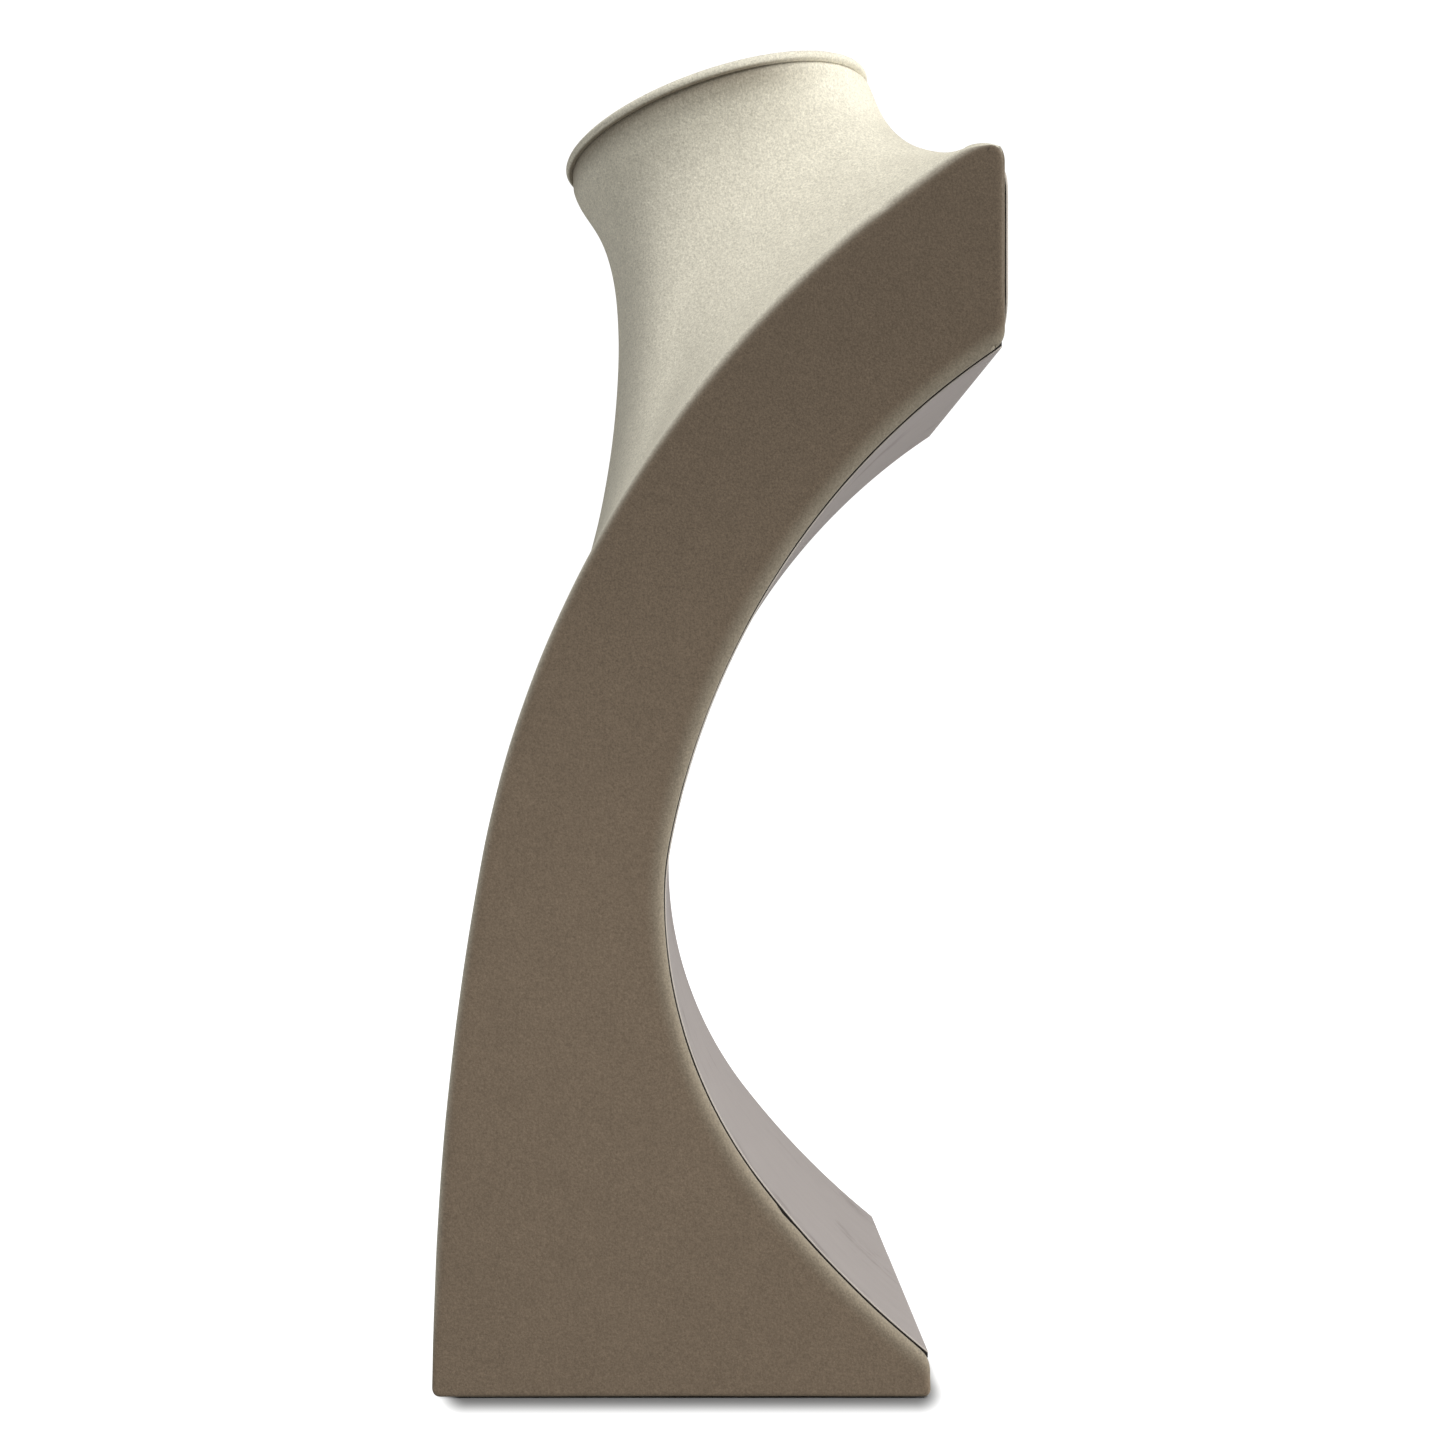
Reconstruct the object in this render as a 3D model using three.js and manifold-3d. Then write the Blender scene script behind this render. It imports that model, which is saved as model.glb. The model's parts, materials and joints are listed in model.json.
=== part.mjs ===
// A fabric-covered display bust for necklaces, in millimetres.
// +Z is up, the front faces -Y and the width runs along X.
// The frame is fibreboard and wood, the neck and shoulders are a shaped foam block, suede-like fabric covers
// the front, the neck and the flat sides, and a bent sheet of grey paperboard closes the concave back.
import * as THREE from "three";
import { mergeVertices } from "three/addons/utils/BufferGeometryUtils.js";
import Module from "manifold-3d";

const wasm = await Module();
wasm.setup();

// ---- driving dimensions ----

const WIDTH = 108;
const HALF = WIDTH / 2;
const FRONT_Y = -60.6; // the front at the base
const BACK_Y = 60.2; // the upright upper back face
const HEEL_Y = 44.5; // the short upright face behind the base

const GAP = 0.3; // between neighbouring pieces
const FABRIC = 0.8;
const SHEET = 0.8; // base sheet and upper back sheet
const BOARD = 1.2; // grey back board
const BOARD_RECESS = 0.5; // the back board lies this far inside the side covers' edges
const FRONT_BOARD = 1.5;
const PANEL = 3; // side panels and upper back panel
const BASE = 6;

const UNDER_FABRIC = FABRIC + GAP;
const UNDER_BOARD = BOARD_RECESS + BOARD + GAP;
const FLOOR = SHEET + GAP; // underside of the fabric, just above the base sheet

// Each half of the outline is two arcs that share a tangent: the first one runs through `turn` radians.
const FRONT = { start: [FRONT_Y, 2.2], near: 609.8, turn: 0.182, far: 224.3 };
const BACK_UP = { start: [-11.8, 104.9], near: 62.5, turn: 0.19, far: 163.5 };
const BACK_DOWN = { start: [-11.8, 104.9], near: 99, turn: 0.66, far: 218.5 };

// The corner between the front and the upright back face is eased down.
const CORNER_START_Y = 48;
const CORNER_DROP = 3.8;

// Tilted top disc of the neck.
const RIM_CENTRE = [0.2, 287.1];
const RIM_RADIUS = 37.8;
const RIM_TILT = THREE.MathUtils.degToRad(16.4);
const CAP_THICKNESS = 2.1;

// The shoulders: five rings of control points, from the neck's top to the body's edges.
// SIDE_START is where the shoulders reach the sides, on a scale from -1 at their lowest point to 1 at the back.
const SHOULDER_START_Z = 156;
const SIDE_START = -0.55;
const SIDE_SLOPE = 0.3;
const SADDLE_SLOPE = -0.1;
const SHOULDER_REACH = 0.47;
const ARCH_HEIGHT = 17.7;
const ARCH_POWER = 1.3;
const NECK_TOP_RADIUS = 37;
const FLARE_RING = { front: [-33, 256.8], back: [40.1, 292.8], half: 31 };
const WAIST_RING = { front: [-15.4, 273], back: [38.2, 283.4], half: 26 };
const SPOKES = 48;
const RINGS = 10;
const EVEN_STEP = THREE.MathUtils.degToRad(3);
const EVEN_REACH = 12; // steps to each side
const EVEN_SPREAD = 3; // steps

// Where the foam block stands on the frame.
const FOAM_Z = 176;

// ---- outline of the side ----

// A pair of tangent arcs, as a function from the angle turned to a point. `side` is +1 upwards and -1 downwards,
// and `grow` changes both radii.
function arcPair(curve, side, grow) {
  const [y, z] = curve.start;
  const first = [y + curve.near, z];
  const second = [
    first[0] - (curve.near - curve.far) * Math.cos(curve.turn),
    first[1] + side * (curve.near - curve.far) * Math.sin(curve.turn),
  ];
  return (turned) => {
    const [centre, radius] = turned < curve.turn ? [first, curve.near] : [second, curve.far];
    const r = radius + grow;
    return [centre[0] - r * Math.cos(turned), centre[1] + side * r * Math.sin(turned)];
  };
}

// The turned angle at which a curve first passes a limit.
function turnWhere(curve, passed) {
  let low = -0.05;
  let high = Math.PI / 2;
  for (let i = 0; i < 50; i++) {
    const middle = (low + high) / 2;
    if (passed(curve(middle))) high = middle;
    else low = middle;
  }
  return high;
}

function sample(curve, from, to, steps) {
  return Array.from({ length: steps + 1 }, (_, i) => curve(from + ((to - from) * i) / steps));
}

function cornerDrop(y) {
  const along = Math.max(0, (y - CORNER_START_Y) / (BACK_Y - CORNER_START_Y));
  return CORNER_DROP * along ** 3;
}

const easeCorner = ([y, z]) => [y, z - cornerDrop(y)];

// The closed side outline, anticlockwise in (Y, Z) seen from +X. Each inset moves one stretch inwards.
function outline({ front = 0, back = 0, upright = 0, heel = 0, bottom = FLOOR }) {
  const rise = arcPair(FRONT, 1, -front);
  const up = arcPair(BACK_UP, 1, back);
  const down = arcPair(BACK_DOWN, -1, back);
  const topY = BACK_Y - upright;
  const heelY = HEEL_Y - heel;
  const riseFrom = turnWhere(rise, (p) => p[1] > bottom);
  const riseTo = turnWhere(rise, (p) => p[0] > topY);
  const upTo = turnWhere(up, (p) => p[0] > topY);
  const downTo = turnWhere(down, (p) => p[0] > heelY);
  return [
    [heelY, bottom],
    ...sample(down, downTo, 0, 14),
    ...sample(up, 0, upTo, 16).slice(1),
    ...sample(rise, riseTo, riseFrom, 32).map(easeCorner),
  ];
}

// ---- solids ----

// Slivers thinner than this, left by joins and cuts, are closed up.
const SLIVER = 0.02;

function geometryOf(solid) {
  const { numProp, numVert, vertProperties, triVerts } = solid.simplify(SLIVER).getMesh();
  const positions = new Float32Array(numVert * 3);
  for (let i = 0; i < numVert; i++) {
    positions.set(vertProperties.subarray(i * numProp, i * numProp + 3), i * 3);
  }
  const geometry = new THREE.BufferGeometry();
  geometry.setAttribute("position", new THREE.BufferAttribute(positions, 3));
  geometry.setIndex(new THREE.BufferAttribute(new Uint32Array(triVerts), 1));
  return geometry;
}

function solidOf(geometry) {
  const bare = geometry.clone();
  bare.deleteAttribute("normal");
  bare.deleteAttribute("uv");
  const merged = mergeVertices(bare, 1e-4);
  return new wasm.Manifold(
    new wasm.Mesh({
      numProp: 3,
      vertProperties: merged.attributes.position.array,
      triVerts: new Uint32Array(merged.index.array),
    }),
  );
}

// A (Y, Z) outline extruded along X.
function prism(points, fromX, toX) {
  const shape = new THREE.Shape(points.map(([y, z]) => new THREE.Vector2(y, z)));
  const geometry = new THREE.ExtrudeGeometry(shape, { depth: toX - fromX, bevelEnabled: false });
  const yzToX = new THREE.Matrix4().set(0, 0, 1, fromX, 1, 0, 0, 0, 0, 1, 0, 0, 0, 0, 0, 1);
  return solidOf(geometry.applyMatrix4(yzToX));
}

function block([x0, x1], [y0, y1], [z0, z1]) {
  const geometry = new THREE.BoxGeometry(x1 - x0, y1 - y0, z1 - z0);
  return solidOf(geometry.translate((x0 + x1) / 2, (y0 + y1) / 2, (z0 + z1) / 2));
}

const ACROSS = [-200, 200];

// ---- neck and shoulders ----

const frontCurve = arcPair(FRONT, 1, 0);
const SHOULDER_TURN = turnWhere(frontCurve, (p) => p[1] > SHOULDER_START_Z);
const TOP_TURN = turnWhere(frontCurve, (p) => p[0] > BACK_Y);

const rimAxis = new THREE.Vector3(0, -Math.sin(RIM_TILT), Math.cos(RIM_TILT));

// A point of a tilted ring, given by its front and back points and its half width. Angle 0 is +X.
function ringPoint({ front, back, half }, angle) {
  const along = Math.sin(angle);
  const y = ((1 - along) * front[0] + (1 + along) * back[0]) / 2;
  const z = ((1 - along) * front[1] + (1 + along) * back[1]) / 2;
  return new THREE.Vector3(half * Math.cos(angle), y, z);
}

// The neck's top, against the underside of the cap. belowCap() trims it to leave the gap.
function neckTopRing() {
  const y = RIM_CENTRE[0] - CAP_THICKNESS * rimAxis.y;
  const z = RIM_CENTRE[1] - CAP_THICKNESS * rimAxis.z;
  const dy = NECK_TOP_RADIUS * Math.cos(RIM_TILT);
  const dz = NECK_TOP_RADIUS * Math.sin(RIM_TILT);
  return { front: [y - dy, z - dz], back: [y + dy, z + dz], half: NECK_TOP_RADIUS };
}

// How far a ray at an angle runs to the shoulders' outline: straight at the sides and the back, and half an
// ellipse below SIDE_START, with both directions scaled to run from -1 to 1.
function outlineReach(angle) {
  const [c, s] = [Math.cos(angle), Math.sin(angle)];
  const straight = 1 / Math.max(Math.abs(c), Math.abs(s));
  if (s * straight >= SIDE_START) return straight;
  const depth = (1 + SIDE_START) ** 2;
  const square = c * c + (s * s) / depth;
  const linear = (-2 * SIDE_START * s) / depth;
  const constant = SIDE_START ** 2 / depth - 1;
  return (-linear + Math.sqrt(linear ** 2 - 4 * square * constant)) / (2 * square);
}

// The point of the body that a spoke of the shoulder surface ends on: low on the front, on a side edge or on
// the arched back edge.
function edgePoint(angle) {
  const reach = outlineReach(angle);
  const across = Math.cos(angle) * reach;
  const along = Math.sin(angle) * reach;
  const turned = SHOULDER_TURN + ((TOP_TURN - SHOULDER_TURN) * (along + 1)) / 2;
  const [y, z] = easeCorner(frontCurve(turned));
  const arch = along > 1 - 1e-9 ? ARCH_HEIGHT * (1 - Math.abs(across) ** ARCH_POWER) : 0;
  return { across, along, turned, point: new THREE.Vector3(across * HALF, y, z + arch) };
}

// The direction in which the surface leaves the body's edge, towards the neck.
function edgeDirection({ across, along, turned }) {
  const tangent = new THREE.Vector3(0, Math.sin(turned), Math.cos(turned));
  const normal = new THREE.Vector3(0, -Math.cos(turned), Math.sin(turned));
  const length = ((TOP_TURN - SHOULDER_TURN) * FRONT.far) / 2;
  const beside = SIDE_SLOPE * THREE.MathUtils.smoothstep(along, SIDE_START, SIDE_START + 0.6);
  const saddle = THREE.MathUtils.smoothstep(along, 0.3, 1) * (1 - across ** 2);
  const slope = THREE.MathUtils.lerp(beside, SADDLE_SLOPE, saddle);
  const inwards = new THREE.Vector3(-across * HALF, 0, 0).addScaledVector(tangent, -along * length);
  return inwards.normalize().addScaledVector(normal, slope).normalize();
}

function controlPoints(angle) {
  const edge = edgePoint(angle);
  const flare = ringPoint(FLARE_RING, angle);
  const reach = SHOULDER_REACH * edge.point.distanceTo(flare);
  return [
    ringPoint(neckTopRing(), angle),
    flare,
    ringPoint(WAIST_RING, angle),
    edge.point.clone().addScaledVector(edgeDirection(edge), reach),
    edge.point,
  ];
}

function bellWeights(spread) {
  const values = [];
  for (let step = -EVEN_REACH; step <= EVEN_REACH; step++) values.push(Math.exp(-((step / spread) ** 2) / 2));
  const sum = values.reduce((a, b) => a + b);
  return values.map((value) => value / sum);
}

// The shares of the neighbouring spokes in an evened one. They take out ridges and keep a ring's wide curve.
const wideBell = bellWeights(EVEN_SPREAD * Math.SQRT2);
const EVEN_WEIGHTS = bellWeights(EVEN_SPREAD).map((weight, i) => 2 * weight - wideBell[i]);

function evenedControlPoints(angle) {
  const evened = [0, 1, 2, 3, 4].map(() => new THREE.Vector3());
  EVEN_WEIGHTS.forEach((weight, i) => {
    const beside = controlPoints(angle + (i - EVEN_REACH) * EVEN_STEP);
    beside.forEach((control, k) => evened[k].addScaledVector(control, weight));
  });
  return evened;
}

function bezier(controls, t) {
  const weights = [(1 - t) ** 4, 4 * t * (1 - t) ** 3, 6 * t * t * (1 - t) ** 2, 4 * t ** 3 * (1 - t), t ** 4];
  const point = new THREE.Vector3();
  controls.forEach((control, i) => point.addScaledVector(control, weights[i]));
  return point;
}

// A point of the shoulder surface: t = 0 at the neck's top and t = 1 at the body's edge. The spokes are evened
// out between the two ends, where the corners of the outline would leave ridges.
function shoulderPoint(angle, t) {
  const even = THREE.MathUtils.smoothstep(t, 0.02, 0.3) * (1 - THREE.MathUtils.smoothstep(t, 0.7, 0.97));
  return bezier(controlPoints(angle), t).lerp(bezier(evenedControlPoints(angle), t), even);
}

// The outward normal, from points a small step away on both sides.
function shoulderNormal(angle, t) {
  const step = 0.004;
  const down = shoulderPoint(angle, Math.min(1, t + step)).sub(shoulderPoint(angle, Math.max(0, t - step)));
  const round = shoulderPoint(angle + step, t).sub(shoulderPoint(angle - step, t));
  return down.cross(round).normalize();
}

const SKIRT_Z = 250; // inside the body, below the arched back edge
const SKIRT_DROP = 3;
const HEART = new THREE.Vector3(0, 10, 190); // a point inside the body, below the shoulders

// The neck and shoulders as a closed solid that runs down into the body, with its surface moved in by `inset`.
function shoulderSolid(inset) {
  const positions = [];
  const triangles = [];
  const put = (point) => positions.push(...point.toArray()) / 3 - 1;
  const rows = [];
  for (let ring = 0; ring <= RINGS; ring++) {
    const row = [];
    for (let spoke = 0; spoke < SPOKES; spoke++) {
      const angle = (2 * Math.PI * spoke) / SPOKES;
      const t = ring / RINGS;
      row.push(put(shoulderPoint(angle, t).addScaledVector(shoulderNormal(angle, t), -inset)));
    }
    rows.push(row);
  }
  const skirt = [];
  for (let spoke = 0; spoke < SPOKES; spoke++) {
    const { point, along } = edgePoint((2 * Math.PI * spoke) / SPOKES);
    const drop = along > 1 - 1e-9 ? point.z - SKIRT_Z : SKIRT_DROP;
    skirt.push(put(point.add(new THREE.Vector3(0, 0, -drop))));
  }
  rows.push(skirt);
  for (let ring = 0; ring + 1 < rows.length; ring++) {
    for (let spoke = 0; spoke < SPOKES; spoke++) {
      const next = (spoke + 1) % SPOKES;
      const [a, b, c, d] = [rows[ring][spoke], rows[ring][next], rows[ring + 1][next], rows[ring + 1][spoke]];
      triangles.push(a, d, b, b, d, c);
    }
  }
  const rimCentre = new THREE.Vector3(0, RIM_CENTRE[0], RIM_CENTRE[1]);
  const top = put(rimCentre.addScaledVector(rimAxis, inset - CAP_THICKNESS));
  const heart = put(HEART);
  for (let spoke = 0; spoke < SPOKES; spoke++) {
    const next = (spoke + 1) % SPOKES;
    triangles.push(top, rows[0][spoke], rows[0][next], heart, skirt[next], skirt[spoke]);
  }
  const geometry = new THREE.BufferGeometry();
  geometry.setAttribute("position", new THREE.BufferAttribute(new Float32Array(positions), 3));
  geometry.setIndex(triangles);
  return solidOf(geometry);
}

// A turned profile set on the neck's axis. Height 0 is the rim's plane.
function turnedOnRim(profile) {
  const geometry = new THREE.LatheGeometry(
    profile.map(([r, height]) => new THREE.Vector2(r, height)),
    64,
  );
  geometry.rotateX(Math.PI / 2 + RIM_TILT);
  return solidOf(geometry.translate(0, RIM_CENTRE[0], RIM_CENTRE[1]));
}

function discOnRim(radius, from, to) {
  return turnedOnRim([
    [0, from],
    [radius, from],
    [radius, to],
    [0, to],
  ]);
}

// Trims a solid to what lies under the cap.
function belowCap(solid) {
  return solid.subtract(discOnRim(NECK_TOP_RADIUS + 20, -CAP_THICKNESS - GAP, 20));
}

// The whole bust, with every outer face moved in by `inset`, or by `back` on the concave back. Its top isn't
// trimmed: an inset bust stands higher there than an outer one, so that a shell between them is open at the top.
function bust(inset, back = inset) {
  const side = HALF - inset;
  const points = outline({ front: inset, back, upright: inset, heel: inset, bottom: FLOOR + inset });
  const room = block([-side, side], [-100, BACK_Y - inset], [100, 400]);
  const shoulders = shoulderSolid(inset).intersect(room);
  return prism(points, -side, side).add(shoulders);
}

// ---- placing the pieces ----

const group = new THREE.Group();
const body = new THREE.Group();
group.add(body);

const LOOKS = {
  fabric: { color: 0xc9c4b4, roughness: 0.95, metalness: 0 },
  board: { color: 0xa39a92, roughness: 0.8, metalness: 0 },
  fibreboard: { color: 0xb08d62, roughness: 0.85, metalness: 0 },
  wood: { color: 0xcba877, roughness: 0.75, metalness: 0 },
  foam: { color: 0xf2f1ec, roughness: 0.9, metalness: 0 },
  paper: { color: 0x3a3633, roughness: 0.9, metalness: 0 },
  steel: { color: 0x9a9c9e, roughness: 0.4, metalness: 1 },
};

function place(name, solid, look) {
  const mesh = new THREE.Mesh(geometryOf(solid), new THREE.MeshStandardMaterial(LOOKS[look]));
  mesh.name = name;
  body.add(mesh);
}

const SIDES = [
  ["right", 1],
  ["left", -1],
];

// A span along X on one side, given for the +X side.
const span = (side, from, to) => (side > 0 ? [from, to] : [-to, -from]);

const COVER_IN = HALF - FABRIC; // inner face of a side cover
const PANEL_OUT = COVER_IN - GAP;
const PANEL_IN = PANEL_OUT - PANEL;
const INSIDE = PANEL_IN - GAP; // half width of what stands between the side panels

// ---- nails and the holes they sit in ----

const NAIL = { radius: 0.8, length: 22, headRadius: 1.6, headHeight: 0.8, sink: 0.3 };
const UPPER_RIB = { y: [-16.7, 1.3], z: [159, FOAM_Z - GAP] };
const MIDDLE_RIB = { y: [-32.1, -14.1], z: [97, 113] };
const LOWER_RIB = { y: [-21.8, -3.8], z: [45, 61] };
const BASE_Z = [FLOOR + UNDER_FABRIC, FLOOR + UNDER_FABRIC + BASE];

const middle = ([from, to]) => (from + to) / 2;
const NAIL_PLACES = {
  upper: [middle(UPPER_RIB.y), middle(UPPER_RIB.z)],
  middle: [middle(MIDDLE_RIB.y), middle(MIDDLE_RIB.z)],
  lower: [middle(LOWER_RIB.y), middle(LOWER_RIB.z)],
  base_front: [-30, middle(BASE_Z)],
  base_back: [20, middle(BASE_Z)],
};

// A nail along X with its head outwards. `grow` widens it into the hole that it sits in.
function nail(side, [y, z], grow) {
  const sides = 12;
  const headOut = PANEL_OUT - NAIL.sink + grow;
  const headIn = PANEL_OUT - NAIL.sink - NAIL.headHeight - grow;
  const tip = PANEL_OUT - NAIL.sink - NAIL.length - grow;
  const profile = [
    [0, tip],
    [NAIL.radius + grow, tip + NAIL.radius],
    [NAIL.radius + grow, headIn],
    [NAIL.headRadius + grow, headIn],
    [NAIL.headRadius + grow, headOut],
    [0, headOut],
  ].map(([r, x]) => new THREE.Vector2(r, x));
  const geometry = new THREE.LatheGeometry(profile, sides);
  geometry.rotateZ(-Math.PI / 2);
  if (side < 0) geometry.rotateZ(Math.PI);
  return solidOf(geometry.translate(0, y, z));
}

function withNailHoles(solid, side, places) {
  return places.reduce((left, at) => left.subtract(nail(side, at, GAP)), solid);
}

function withNailHolesOnBothSides(solid, places) {
  return withNailHoles(withNailHoles(solid, 1, places), -1, places);
}

function addNails() {
  for (const [sideName, side] of SIDES) {
    for (const [name, at] of Object.entries(NAIL_PLACES)) {
      place(`${sideName}_${name}_nail`, nail(side, at, 0), "steel");
    }
  }
}

// ---- frame ----

function addSidePanels() {
  const points = outline({
    front: UNDER_FABRIC,
    back: UNDER_BOARD,
    upright: UNDER_FABRIC,
    heel: UNDER_FABRIC,
    bottom: BASE_Z[0],
  });
  for (const [sideName, side] of SIDES) {
    const panel = prism(points, ...span(side, PANEL_IN, PANEL_OUT));
    place(`${sideName}_side_panel`, withNailHoles(panel, side, Object.values(NAIL_PLACES)), "fibreboard");
  }
}

function rib({ y, z }, at) {
  return withNailHolesOnBothSides(block([-INSIDE, INSIDE], y, z), [at]);
}

function addRibs() {
  place("upper_rib", rib(UPPER_RIB, NAIL_PLACES.upper), "wood");
  place("middle_rib", rib(MIDDLE_RIB, NAIL_PLACES.middle), "wood");
  place("lower_rib", rib(LOWER_RIB, NAIL_PLACES.lower), "wood");
}

function addBase() {
  const points = outline({
    front: UNDER_FABRIC + FRONT_BOARD + GAP,
    back: UNDER_BOARD,
    heel: UNDER_FABRIC,
    bottom: BASE_Z[0],
  });
  const panel = prism(points, -INSIDE, INSIDE).intersect(block(ACROSS, ACROSS, BASE_Z));
  const places = [NAIL_PLACES.base_front, NAIL_PLACES.base_back];
  place("base_panel", withNailHolesOnBothSides(panel, places), "fibreboard");
}

function addGlueBlocks() {
  const size = 15;
  const z = [BASE_Z[1] + GAP, BASE_Z[1] + GAP + size];
  const rows = { front: FRONT_Y + 4, back: 9 };
  for (const [sideName, side] of SIDES) {
    for (const [rowName, y] of Object.entries(rows)) {
      const solid = block(span(side, INSIDE - size, INSIDE), [y, y + size], z);
      place(`${sideName}_${rowName}_glue_block`, solid, "wood");
    }
  }
}

function addFrontBoard() {
  const outer = prism(outline({ front: UNDER_FABRIC, bottom: BASE_Z[0] }), -INSIDE, INSIDE);
  const inner = prism(outline({ front: UNDER_FABRIC + FRONT_BOARD, bottom: 0 }), ...ACROSS);
  const behind = block(ACROSS, [FRONT_Y + 40, 200], ACROSS);
  const height = block(ACROSS, ACROSS, [BASE_Z[0], FOAM_Z - GAP]);
  place("front_board", outer.subtract(inner).intersect(height).subtract(behind), "board");
}

// ---- neck, shoulders and upper back ----

function addNeckForm() {
  const room = block([-INSIDE, INSIDE], [-100, BACK_Y - UNDER_FABRIC - PANEL - GAP], [FOAM_Z, 400]);
  place("neck_form", belowCap(bust(UNDER_FABRIC, UNDER_BOARD).intersect(room)), "foam");
}

function addUpperBackPanel() {
  const y = [BACK_Y - UNDER_FABRIC - PANEL, BACK_Y];
  const room = block([-INSIDE, INSIDE], y, [200, 400]);
  place("upper_back_panel", bust(UNDER_FABRIC, UNDER_BOARD).intersect(room), "fibreboard");
}

function addUpperBackSheet() {
  const y = [BACK_Y + GAP, BACK_Y + GAP + SHEET];
  place("upper_back_sheet", block([-HALF + 6, HALF - 6], y, [229, 255]), "board");
}

function addCap() {
  const core = RIM_RADIUS - UNDER_FABRIC;
  const lip = 0.6;
  const wall = RIM_RADIUS - FABRIC;
  place(
    "cap_cover",
    turnedOnRim([
      [0, -FABRIC],
      [wall, -FABRIC],
      [wall, -CAP_THICKNESS],
      [RIM_RADIUS - lip / 2, -CAP_THICKNESS],
      [RIM_RADIUS, -CAP_THICKNESS + lip],
      [RIM_RADIUS, -lip],
      [RIM_RADIUS - lip, 0],
      [0, 0],
    ]),
    "fabric",
  );
  place("neck_cap", discOnRim(core, -CAP_THICKNESS, -UNDER_FABRIC), "fibreboard");
}

// ---- covers ----

function addSideCovers() {
  for (const [sideName, side] of SIDES) {
    place(`${sideName}_side_cover`, prism(outline({}), ...span(side, COVER_IN, HALF)), "fabric");
  }
}

// The front cover runs from a lip under the base, up the front, over the shoulders and the neck, and down the
// upright back face. The region is everything in front of and above a line between the front and the back.
function addFrontCover() {
  const lipDepth = 12;
  const region = [
    [FRONT_Y - 10, -10],
    [FRONT_Y + lipDepth, -10],
    [FRONT_Y + lipDepth, 30],
    [-36, 100],
    [-20, 150],
    [20, 200],
    [BACK_Y - 4, 224.5],
    [BACK_Y + 10, 224.5],
    [BACK_Y + 10, 400],
    [FRONT_Y - 10, 400],
  ];
  const shell = belowCap(bust(0).subtract(bust(FABRIC)));
  place("front_cover", shell.intersect(prism(region, -PANEL_OUT, PANEL_OUT)), "fabric");
}

function addHeelCover() {
  const height = [BASE_Z[0], 7];
  place("heel_cover", block([-PANEL_OUT, PANEL_OUT], [HEEL_Y - FABRIC, HEEL_Y], height), "fabric");
}

function addBackBoard() {
  const side = PANEL_OUT - FABRIC;
  const outer = prism(outline({ back: BOARD_RECESS, bottom: 0 }), -side, side);
  const inner = prism(outline({ back: BOARD_RECESS + BOARD, bottom: -1 }), ...ACROSS);
  const front = prism(
    [
      [-100, -20],
      [-30, -20],
      [-30, 130],
      [30, 215],
      [30, 400],
      [-100, 400],
    ],
    ...ACROSS,
  );
  const height = block(ACROSS, [-100, BACK_Y - UNDER_FABRIC], [FLOOR + 7, 223]);
  place("back_board", outer.subtract(inner).subtract(front).intersect(height), "board");
}

function addBaseSheet() {
  const inset = 8;
  const y = [FRONT_Y + inset, HEEL_Y - inset / 2];
  place("base_sheet", block([-HALF + inset, HALF - inset], y, [0, SHEET]), "paper");
}

addSidePanels();
addRibs();
addBase();
addGlueBlocks();
addFrontBoard();
addNeckForm();
addUpperBackPanel();
addCap();
addNails();
addSideCovers();
addFrontCover();
addHeelCover();
addBackBoard();
addUpperBackSheet();
addBaseSheet();

// The origin is at the centre of the footprint's bounding box, on the surface that the bust stands on.
body.position.y = -(FRONT_Y + BACK_Y + GAP + SHEET) / 2;

export default group;
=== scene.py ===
"""A fabric-covered necklace display bust: the visible covers, boards and sheets round the CAD frame."""

import json
import math

import bmesh
import bpy
import numpy as np
from mathutils import Matrix, Vector, noise


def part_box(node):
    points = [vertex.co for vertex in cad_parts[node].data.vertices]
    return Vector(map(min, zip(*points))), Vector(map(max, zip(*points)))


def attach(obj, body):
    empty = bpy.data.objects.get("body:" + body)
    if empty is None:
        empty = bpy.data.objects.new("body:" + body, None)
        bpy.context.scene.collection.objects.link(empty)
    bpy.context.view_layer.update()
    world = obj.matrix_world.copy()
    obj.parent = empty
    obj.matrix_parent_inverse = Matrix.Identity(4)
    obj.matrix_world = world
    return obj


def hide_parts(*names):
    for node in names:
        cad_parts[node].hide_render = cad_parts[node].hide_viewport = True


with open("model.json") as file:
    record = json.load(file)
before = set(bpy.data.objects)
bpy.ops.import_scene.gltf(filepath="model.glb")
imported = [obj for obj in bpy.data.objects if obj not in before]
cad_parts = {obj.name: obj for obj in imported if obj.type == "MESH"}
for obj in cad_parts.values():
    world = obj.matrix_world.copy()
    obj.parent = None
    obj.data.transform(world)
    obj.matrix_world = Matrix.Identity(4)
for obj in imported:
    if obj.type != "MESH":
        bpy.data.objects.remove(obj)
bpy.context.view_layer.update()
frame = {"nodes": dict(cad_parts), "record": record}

MM = 0.001

# ---- driving dimensions, in millimetres, as in the CAD model ----

HALF = 54.0
FRONT_Y = -60.6
BACK_Y = 60.2
HEEL_Y = 44.5
FLOOR = 0.25  # underside of the fabric, which hangs over the base sheet's edge
FABRIC = 0.8
FRONT = dict(start=(FRONT_Y, 2.2), near=609.8, turn=0.182, far=224.3)
BACK_UP = dict(start=(-11.8, 104.9), near=62.5, turn=0.19, far=163.5)
BACK_DOWN = dict(start=(-11.8, 104.9), near=99.0, turn=0.66, far=218.5)
CORNER_START_Y = 48.0
CORNER_DROP = 3.8

RIM_CENTRE = (0.2, 287.1)
RIM_RADIUS = 37.8
RIM_TILT = math.radians(16.4)
CAP_THICKNESS = 2.1

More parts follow.
